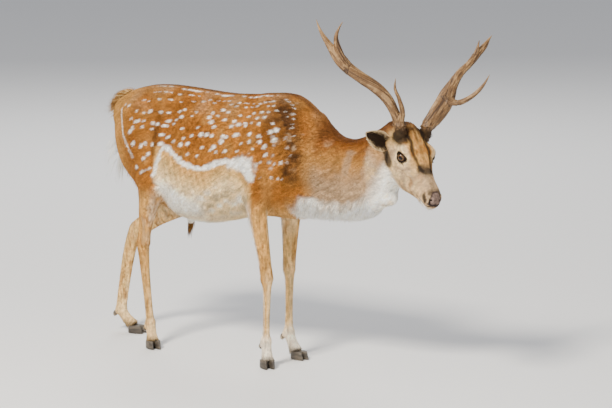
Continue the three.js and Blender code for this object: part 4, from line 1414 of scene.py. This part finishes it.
def sheath_brush(material, rng):
    """The brush of hair that hangs under the belly."""
    count = SHEATH_HAIRS
    t = rng.random(count)
    angle = rng.random(count) * 2 * math.pi
    around = np.column_stack([np.cos(angle), np.sin(angle), np.zeros(count)])
    roots = smooth_rows(np.array(SHEATH)[:, :3], 0.9 + 1.05 * t) + around * (8 - 5 * t)[:, None]
    flow = unit(np.array([-0.1, 0, -1.0]) + 0.18 * around)
    colours = TAWNY * rng.uniform(0.6, 1.1, (count, 1))
    colours = mix(colours, DARK_BROWN, 0.75 * (rng.random(count) < 0.6))
    length, width, height = (rng.uniform(*span, count) for span in ((18, 60), (1.2, 2.2), (1, 5)))
    sizes, chart = [length * (0.5 + 0.5 * t), width, height], np.column_stack([angle, t])
    made = tufts("hair_sheath", roots, around, flow, sizes, colours, chart, rng, 2)
    dress(made, material)


# Hair of the ears: how many, spans of length, width and height, bends, and how far it turns to the hollow.
EAR_HAIR = {
    "short": (3600, ((5, 9), (0.7, 1.2), (0.6, 1.4)), 1, 0),
    "wisps": (560, ((6, 17), (0.5, 0.9), (1, 4)), 2, 1),
}


def ear_hair(piece, ear, material):
    """Short hair all over an ear, and longer wisps from its rims across the hollow."""
    rng = np.random.default_rng(EAR_SEED + ear.side)
    for kind, (count, spans, rings, inward) in EAR_HAIR.items():

        def wanted(p, kind=kind):
            share, _, _, edge = ear.parts(p)
            rim = step(0.72, 0.9, edge) * (share > 0.02) * (share < 0.8)
            return np.ones(len(p)) if kind == "short" else rim

        roots, normals = scatter(piece, count, rng, wanted)
        share, over, front, _ = ear.parts(roots)
        run = ear.along + inward * (0.25 * ear.face - 0.9 * np.sign(over)[:, None] * ear.across)
        flow = unit(run @ HEAD_TURN.T + rng.normal(0, 0.16, (count, 3)))
        sizes = [rng.uniform(*span, count) for span in spans]
        if kind == "short":
            colours = ear_colours(roots, ear)
        else:
            colours = mix(GREY_FAWN, CREAM, rng.random(count)) * rng.uniform(0.5, 1.0, (count, 1))
        chart = np.column_stack([share * EAR["length"], over + 0.5 * front])
        name = f"ear_{WORDS[ear.side]}_{kind}"
        dress(tufts(name, roots, normals, flow, sizes, colours, chart, rng, rings), material)


# ---------------------------------------------------------------- materials
# Each material: its noise (scale, detail and stretch), how far that darkens and lightens the stored
# colour, roughness, specular level, and its bumps' noise, strength and depth.
MATERIALS = {
    "coat": ((160, 3, (0.5, 1, 1)), (0.9, 1.1), 0.72, 0.1, None),
    "skin": ((160, 3, (0.5, 1, 1)), (0.9, 1.1), 0.72, 0.1, ((420, 3, (0.35, 1, 0.6)), 0.5, 0.0012)),
    "eye": ((500, 2, (1, 1, 1)), (0.92, 1.08), 0.1, 0.22, None),
    "antler": ((230, 5, (1, 1, 1)), (0.72, 1.22), 0.58, 0.4, ((340, 5, (1, 1, 1)), 0.55, 0.0009)),
    "hoof": ((300, 4, (0.3, 0.3, 1.6)), (0.75, 1.2), 0.45, 0.45, ((420, 3, (0.3, 0.3, 2.2)), 0.35, 0.0005)),
}


def make_material(name):
    """A material that shows the stored colours, made darker and lighter by noise."""
    grains, (low, high), roughness, specular, bumps = MATERIALS[name]
    material = bpy.data.materials.new(name)
    material.use_nodes = True
    nodes, links = material.node_tree.nodes, material.node_tree.links
    shader = nodes["Principled BSDF"]

    def fill(node, **values):
        for key, value in values.items():
            node.inputs[key.replace("_", " ")].default_value = value
        return node

    def texture(scale, detail, stretch):
        mapping = fill(nodes.new("ShaderNodeMapping"), Scale=stretch)
        made = fill(nodes.new("ShaderNodeTexNoise"), Scale=scale, Detail=detail)
        links.new(nodes.new("ShaderNodeTexCoord").outputs["Object"], mapping.inputs["Vector"])
        links.new(mapping.outputs["Vector"], made.inputs["Vector"])
        return made.outputs["Fac"]

    fill(shader, Roughness=roughness, Specular_IOR_Level=specular)
    stored = nodes.new("ShaderNodeVertexColor")
    stored.layer_name = COLOUR_NAME
    spread = fill(nodes.new("ShaderNodeMapRange"), From_Min=0.3, From_Max=0.7, To_Min=low, To_Max=high)
    varied = nodes.new("ShaderNodeMix")
    varied.data_type, varied.blend_type = "RGBA", "MULTIPLY"
    fill(varied, Factor=1)
    links.new(texture(*grains), spread.inputs["Value"])
    # A mix node has its colours at inputs 6 and 7 and at output 2.
    links.new(stored.outputs["Color"], varied.inputs[6])
    links.new(spread.outputs["Result"], varied.inputs[7])
    links.new(varied.outputs[2], shader.inputs["Base Color"])
    if bumps:
        noises, strength, depth = bumps
        bump = fill(nodes.new("ShaderNodeBump"), Strength=strength, Distance=depth)
        links.new(texture(*noises), bump.inputs["Height"])
        links.new(bump.outputs["Normal"], shader.inputs["Normal"])
    return material


# ---------------------------------------------------------------- eyes
PUPIL, IRIS = [7.0, 5.4], 13.5
GAZE = [4.0, 0.5]  # the pupil's place, towards the inner corner and up
EYE_RINGS, EYE_SIDES = 50, 72
CORNEA = {"sunk": 0.3, "proud": 0.9, "spread": 0.62}  # how far the ball lies in and the cornea stands out


def make_eye(side, material):
    """An eyeball with its cornea standing a little proud and a pupil drawn out lengthways."""
    polar = np.linspace(0, math.pi, EYE_RINGS)[1:-1]
    round_it = np.linspace(0, 2 * math.pi, EYE_SIDES, endpoint=False)
    a, b = np.meshgrid(polar, round_it, indexing="ij")
    local = np.stack([np.sin(a) * np.cos(b), np.sin(a) * np.sin(b), np.cos(a)], -1).reshape(-1, 3)
    local = np.concatenate([[[0, 0, 1.0]], local, [[0, 0, -1.0]]])
    tilt = np.arccos(np.clip(local[:, 2], -1, 1)) / CORNEA["spread"]
    local *= (EYE_RADIUS - CORNEA["sunk"] + CORNEA["proud"] * np.exp(-(tilt**4)))[:, None]
    points = on_side(EYE_AT, side) + (local @ np.stack([EYE_ALONG, EYE_UP, EYE_OUT])) * [1, side, 1]
    last = len(points) - 1
    faces = bands(EYE_RINGS - 2, EYE_SIDES, 1) + fan(0, 1, EYE_SIDES) + fan(last, last - EYE_SIDES, EYE_SIDES)
    piece = solid_piece(f"eyeball_{WORDS[side]}", from_head(points), faces)
    along, up, out = (local - [*GAZE, 0]).T
    reach = np.hypot(along, up)
    streak = noise(np.column_stack([np.arctan2(up, along) * 9, reach * 0.25, 0 * reach]), 1.0, 41)
    pupil = np.hypot(along / PUPIL[0], up / PUPIL[1])
    lay = Layers(len(points), NEAR_BLACK * 0.5)
    lay(IRIS_BROWN, step(IRIS, IRIS - 1.5, reach) * (out > 0))
    lay(IRIS_AMBER, (0.55 + 0.35 * streak) * step(IRIS - 2, IRIS - 5, reach) * (out > 0))
    lay(np.zeros(3) + 0.003, step(1.12, 0.92, pupil) * (out > 0))
    colour_mesh(piece.data, lay.colour)
    dress(piece, material, [f"eye_{WORDS[side]}"])


# ---------------------------------------------------------------- antlers
PEDICLE = [50, 46, 52]  # where an antler starts in the head frame
# Each antler's beam and then its tines: places forward, outward and up from the pedicle, with the two
# half widths.
ANTLERS = {
    RIGHT: [
        [
            [0, -6, -20, 15, 15], [0, -2, 22, 16, 16], [0, 2, 30, 20, 20], [-1, 8, 42, 16, 16],
            [-2, 19, 73, 14, 16], [-6, 42, 115, 14, 18], [-12, 78, 152, 13, 20], [-22, 126, 186, 12, 20],
            [-34, 166, 217, 12, 21], [-46, 192, 249, 11, 22], [-56, 219, 287, 9, 13], [-66, 246, 332, 5, 6],
            [-74, 260, 373, 1.5, 1.5],
        ],
        [[-34, 166, 215, 9, 10], [-40, 194, 266, 9, 13], [-38, 207, 320, 6, 7], [-34, 185, 367, 1.5, 1.5]],
        [
            [2, 0, 34, 12, 12], [24, 4, 74, 10, 9], [34, 20, 118, 7, 7], [36, 36, 153, 5, 5],
            [36, 34, 187, 1.5, 1.5],
        ],
    ],
    LEFT: [
        [
            [0, -2, -20, 15, 15], [0, 4, 20, 16, 17], [0, 8, 28, 20, 22], [-1, 20, 40, 16, 26],
            [-2, 36, 57, 14, 29], [-6, 65, 90, 13, 31], [-12, 88, 125, 12, 28], [-18, 107, 154, 11, 19],
            [-30, 140, 188, 10, 14], [-42, 181, 216, 9, 12], [-54, 215, 244, 8, 13], [-64, 246, 268, 6, 10],
            [-72, 264, 285, 4, 5], [-78, 280, 299, 1.5, 1.5],
        ],
        [
            [-4, 78, 108, 9, 18], [8, 110, 98, 9, 13], [22, 142, 111, 8, 9], [34, 171, 135, 7, 7],
            [42, 192, 162, 4.5, 4.5], [48, 206, 190, 1.5, 1.5],
        ],
        [[-52, 204, 240, 7, 8], [-52, 215, 266, 5, 5], [-50, 219, 290, 1.5, 1.5]],
    ],
}
BURR_ROW = 2  # the beam's row at its burr
ANTLER_SIDES, ANTLER_STEPS, ANTLER_PITCH = 20, 70, 1.9
BEADS, BEAD_SIZES, BURR_RADIUS, BEAD_SEED = 22, (2.6, 4.4), 20, 23
GROOVE_WIDTH, GROOVE_DEPTH, GROOVE_STRETCH = 4.6, 1.6, 0.14
LINE_PLACES = 40  # points on the line of a tine, by which each place finds its way along


def upright(points, side):
    """Places measured from the pedicle as the animal's: upright, turned with the head."""
    return points @ turn(2, HEAD_YAW).T + from_head(on_side(PEDICLE, side))


def antler_tube(rows, side):
    grown = smooth_rows(np.array(rows, float) * [1, side, 1, 1, 1], np.linspace(0, len(rows) - 1, ANTLER_STEPS))
    centre = grown[:, :3]
    along = unit(np.gradient(centre, axis=0))
    normal = unit(np.cross([0.0, 1.0, 0.0], along))
    angle = np.linspace(0, 2 * math.pi, ANTLER_SIDES, endpoint=False)[None, :, None]
    ring = centre[:, None] + (normal * grown[:, 3:4])[:, None] * np.sin(angle)
    ring = ring + (np.cross(along, normal) * grown[:, 4:5])[:, None] * np.cos(angle)
    corners = len(centre) * ANTLER_SIDES
    ends = [list(range(ANTLER_SIDES))[::-1], list(range(corners - ANTLER_SIDES, corners))]
    return upright(ring.reshape(-1, 3), side), bands(ANTLER_STEPS, ANTLER_SIDES) + ends


def tine_places(p, tines, side):
    """How far along its tine each point lies, as a share, and its place drawn out along the tine."""
    best, tip, drawn = np.full(len(p), 1e6), np.zeros(len(p)), np.zeros((len(p), 3))
    for order, rows in enumerate(tines):
        middles = smooth_rows(rows, np.linspace(0, len(rows) - 1, LINE_PLACES))[:, :3]
        line = upright(middles * [1, side, 1], side)
        gone = 0.0
        for k, (a, b) in enumerate(zip(line[:-1], line[1:])):
            t, offset = along_segment(p, a, b)
            reach, span = np.linalg.norm(offset, axis=1), np.linalg.norm(b - a)
            closer = reach < best
            best[closer], tip[closer] = reach[closer], (k + t[closer]) / (LINE_PLACES - 1)
            run = GROOVE_STRETCH * (gone + t * span) + 100 * order
            drawn[closer] = (offset + np.outer(run, [0.3, 0.5, 0.81]))[closer]
            gone += span
    return tip, drawn


def make_antler(side, material):
    """Beam and tines in one grown piece, grooved along their length and beaded at the burr."""
    name, tines = f"antler_{WORDS[side]}", ANTLERS[side]
    bm = bmesh.new()
    for rows in tines:
        points, faces = antler_tube(rows, side)
        corners = [bm.verts.new(p) for p in points]
        for face in faces:
            bm.faces.new([corners[k] for k in face])
    bmesh.ops.recalc_face_normals(bm, faces=bm.faces)
    rng = np.random.default_rng(BEAD_SEED + side)
    burr = upright(on_side(tines[0][BURR_ROW][:3], side), side)
    for k in range(BEADS):
        a, size = 2 * math.pi * k / BEADS, rng.uniform(*BEAD_SIZES)
        place = burr + [BURR_RADIUS * math.cos(a), BURR_RADIUS * math.sin(a), rng.uniform(-2, 3)]
        made = bmesh.ops.create_icosphere(bm, subdivisions=2, radius=size)
        bmesh.ops.translate(bm, verts=made["verts"], vec=Vector(place))
    mesh = bpy.data.meshes.new(name)
    bm.to_mesh(mesh)
    bm.free()
    piece = shown(name, mesh)
    remesh = piece.modifiers.new("grow", "REMESH")
    remesh.mode, remesh.voxel_size = "VOXEL", ANTLER_PITCH
    relax = piece.modifiers.new("relax", "SMOOTH")
    relax.factor, relax.iterations = 0.5, 4
    grown = bpy.data.meshes.new_from_object(piece.evaluated_get(bpy.context.evaluated_depsgraph_get()))
    piece.modifiers.clear()
    piece.data = grown
    p = vectors_of(grown, "co")
    tip, drawn = tine_places(p, tines, side)
    groove = 0.5 - np.abs(noise(drawn, GROOVE_WIDTH, 51)) * GROOVE_DEPTH
    beads = np.maximum(noise(p, 4.2, 52) - 0.25, 0) * 2.2 * step(0.45, 0.1, tip)
    p += vectors_of(grown, "normal") * (groove * step(1, 0.75, tip) + beads - 0.4)[:, None]
    set_points(grown, p)
    grown.polygons.foreach_set("use_smooth", np.ones(len(grown.polygons), bool))
    lay = Layers(len(p), ANTLER_BROWN)
    lay(ANTLER_DARK, 0.8 * step(0.05, -0.7, groove))
    lay(ANTLER_PALE, 0.6 * step(0.2, 0.5, groove + 0.25 * noise(p, 18, 53)))
    lay(ANTLER_DARK, 0.6 * step(0.16, 0.0, tip))
    lay(ANTLER_PALE, 0.5 * step(0.85, 0.98, tip))
    colour_mesh(grown, lay.colour)
    dress(piece, material, [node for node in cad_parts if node.startswith(name)])


# ---------------------------------------------------------------- hooves
HOOF = {"front": 34, "back": 24, "half": 11, "apart": 12.5, "rake": 10, "top": CORONET - 0.5}
CLAW_SIDES, CLAW_RINGS, CLAW_POWERS = 56, 22, (1.5, 2.4)  # its section is pointed in front and full behind
GROWTH_RINGS = {"depth": 0.28, "closeness": 1.9}


def claw_section(angle, half, front, back):
    """Across and forward places round a section that is pointed in front and full behind."""
    c, s = np.cos(angle), np.sin(angle)
    power = 2 / np.where(s > 0, *CLAW_POWERS)
    forward = np.where(s > 0, front, back) * np.sign(s) * np.abs(s) ** power
    return half * np.sign(c) * np.abs(c) ** power, forward


def make_claw(leg, side, material):
    """One claw: a wedge with a pointed toe, a flat sole and growth rings."""
    _, toe, _, hoof = LEGS[leg]
    t = np.linspace(0, 1, CLAW_RINGS)[:, None]
    z = HOOF["top"] * t
    grown = GROWTH_RINGS["depth"] * np.sin(z * GROWTH_RINGS["closeness"]) * step(0, 2, z)
    swell = grown - step(2.5, 0, z)
    front = HOOF["front"] - HOOF["rake"] * t + swell
    back = HOOF["back"] - 2 * step(0.5, 1, t) + swell
    half = HOOF["half"] + 0.5 * np.sin(t * math.pi) + swell
    angle = np.linspace(0, 2 * math.pi, CLAW_SIDES, endpoint=False)[None, :]
    across, reach = claw_section(angle, half, front, back)
    middle = side * HOOF["apart"]
    points = np.stack([reach, across + middle, z + 0 * reach], -1).reshape(-1, 3)
    last = len(points)
    points = np.concatenate([points, [[0, middle, 0], [0, middle, HOOF["top"]]]])
    points = points @ turn(2, toe).T + [*hoof, 0]
    caps = fan(last, 0, CLAW_SIDES) + fan(last + 1, last - CLAW_SIDES, CLAW_SIDES)
    name, faces = f"{leg}_{WORDS[side]}", bands(CLAW_RINGS, CLAW_SIDES) + caps
    horn_piece(f"hoof_{name}", points, faces, f"claw_{name}", material)


def horn_piece(name, points, faces, node, material):
    piece = solid_piece(name, points, faces)
    p = points_of(piece.data)
    streaks = noise(p * [0.2, 0.2, 1], 3.5, 61)
    lay = Layers(len(p), HOOF_GREY)
    lay(HOOF_PALE, 0.45 * step(-0.2, 0.8, streaks) + 0.3 * step(16, 26, p[:, 2]))
    colour_mesh(piece.data, lay.colour)
    dress(piece, material, [node])


def make_dewclaw(leg, side, material):
    """A small blunt horn behind the fetlock."""
    bm = bmesh.new()
    bmesh.ops.create_uvsphere(bm, u_segments=28, v_segments=20, radius=1)
    p = np.array([v.co for v in bm.verts]) * DEWCLAW["size"]
    faces = [[v.index for v in f.verts] for f in bm.faces]
    bm.free()
    p[:, 2] = np.where(p[:, 2] < 0, p[:, 2] * 0.92, p[:, 2])
    p *= 1 - 0.18 * step(0, -11, p[:, 2])[:, None] * [1, 1, 0]
    p = p @ turn(1, 20).T @ turn(2, LEGS[leg][1]).T + dewclaw_place(leg, side)
    horn_piece(f"dewhoof_{leg}_{WORDS[side]}", p, faces, f"dewclaw_{leg}_{WORDS[side]}", material)


# ---------------------------------------------------------------- studio
# The photograph's angle: round from the right side and above the ground.
AZIMUTH, ELEVATION = math.radians(40), math.radians(9)
CAMERA_REACH, LENS, SENSOR = 12.0, 211.8, 36
PICTURE_MIDDLE = [266.9, 142.8, 513.2]
# Name, place, aim, size, power and colour.
LIGHTS = [
    ("key", (1.0, -5.5, 5.6), (0, 0, 0.6), 1.5, 1080, (1.0, 0.95, 0.86)),
    ("fill", (7, -3, 2.5), (0, 0, 0.5), 4, 120, (1, 1, 1)),
    ("rim", (-4, 4, 4.5), (0, 0, 0.7), 3, 240, (1, 1, 1)),
]
FLOOR_COLOUR, SKY_COLOUR, SKY_POWER = (0.8, 0.79, 0.77, 1), (0.86, 0.9, 1.0, 1), 0.52
FLOOR_SIZE, FLOOR_HEIGHT = 60, -0.0005


def place_camera():
    """The camera at the photograph's angle."""
    flat = math.cos(ELEVATION)
    back = Vector((math.sin(AZIMUTH) * flat, -math.cos(AZIMUTH) * flat, math.sin(ELEVATION)))
    camera = bpy.data.objects.new("camera", bpy.data.cameras.new("camera"))
    bpy.context.scene.collection.objects.link(camera)
    camera.data.sensor_width, camera.data.lens, camera.data.clip_end = SENSOR, LENS, 100
    camera.rotation_mode = "QUATERNION"
    camera.rotation_quaternion = (-back).to_track_quat("-Z", "Y")
    camera.location = Vector(in_frame(PICTURE_MIDDLE)) + back * CAMERA_REACH
    bpy.context.scene.camera = camera


def area_light(name, at, aim, size, power, colour):
    light = bpy.data.lights.new(name, "AREA")
    light.shape, light.size, light.size_y = "RECTANGLE", size, size
    light.energy, light.color = power, colour
    lamp = bpy.data.objects.new(name, light)
    lamp.location = at
    lamp.rotation_euler = (Vector(aim) - Vector(at)).to_track_quat("-Z", "Y").to_euler()
    bpy.context.scene.collection.objects.link(lamp)


def studio():
    bpy.ops.mesh.primitive_plane_add(size=FLOOR_SIZE, location=(0, 0, FLOOR_HEIGHT))
    floor = bpy.context.object
    floor.name = "floor"
    ground = bpy.data.materials.new("floor")
    ground.use_nodes = True
    shader = ground.node_tree.nodes["Principled BSDF"]
    shader.inputs["Base Color"].default_value = FLOOR_COLOUR
    shader.inputs["Roughness"].default_value = 0.9
    floor.data.materials.append(ground)
    world = bpy.context.scene.world or bpy.data.worlds.new("studio")
    bpy.context.scene.world = world
    world.use_nodes = True
    background = world.node_tree.nodes["Background"]
    background.inputs["Color"].default_value = SKY_COLOUR
    background.inputs["Strength"].default_value = SKY_POWER
    for light in LIGHTS:
        area_light(*light)


# ---------------------------------------------------------------- the animal
place_camera()
studio()
fur, hide = make_material("coat"), make_material("skin")
skin = make_skin()
coat(skin, fur)
long_hair(skin, fur)
colour_mesh(skin.data, coat_colours(points_of(skin.data), vectors_of(skin.data, "normal")))
dress(skin, hide, ["trunk", "neck", "head", "tail", *LEGS])
for ear in map(Ear, WORDS):
    leaf = ear.make()
    colour_mesh(leaf.data, ear_colours(points_of(leaf.data), ear))
    dress(leaf, hide, [f"ear_{WORDS[ear.side]}"])
    ear_hair(leaf, ear, fur)
glossy, bone, horn = make_material("eye"), make_material("antler"), make_material("hoof")
for side in WORDS:
    make_eye(side, glossy)
for side in WORDS:
    make_antler(side, bone)
for leg in LEGS:
    for side in WORDS:
        make_claw(leg, side, horn)
        make_dewclaw(leg, side, horn)
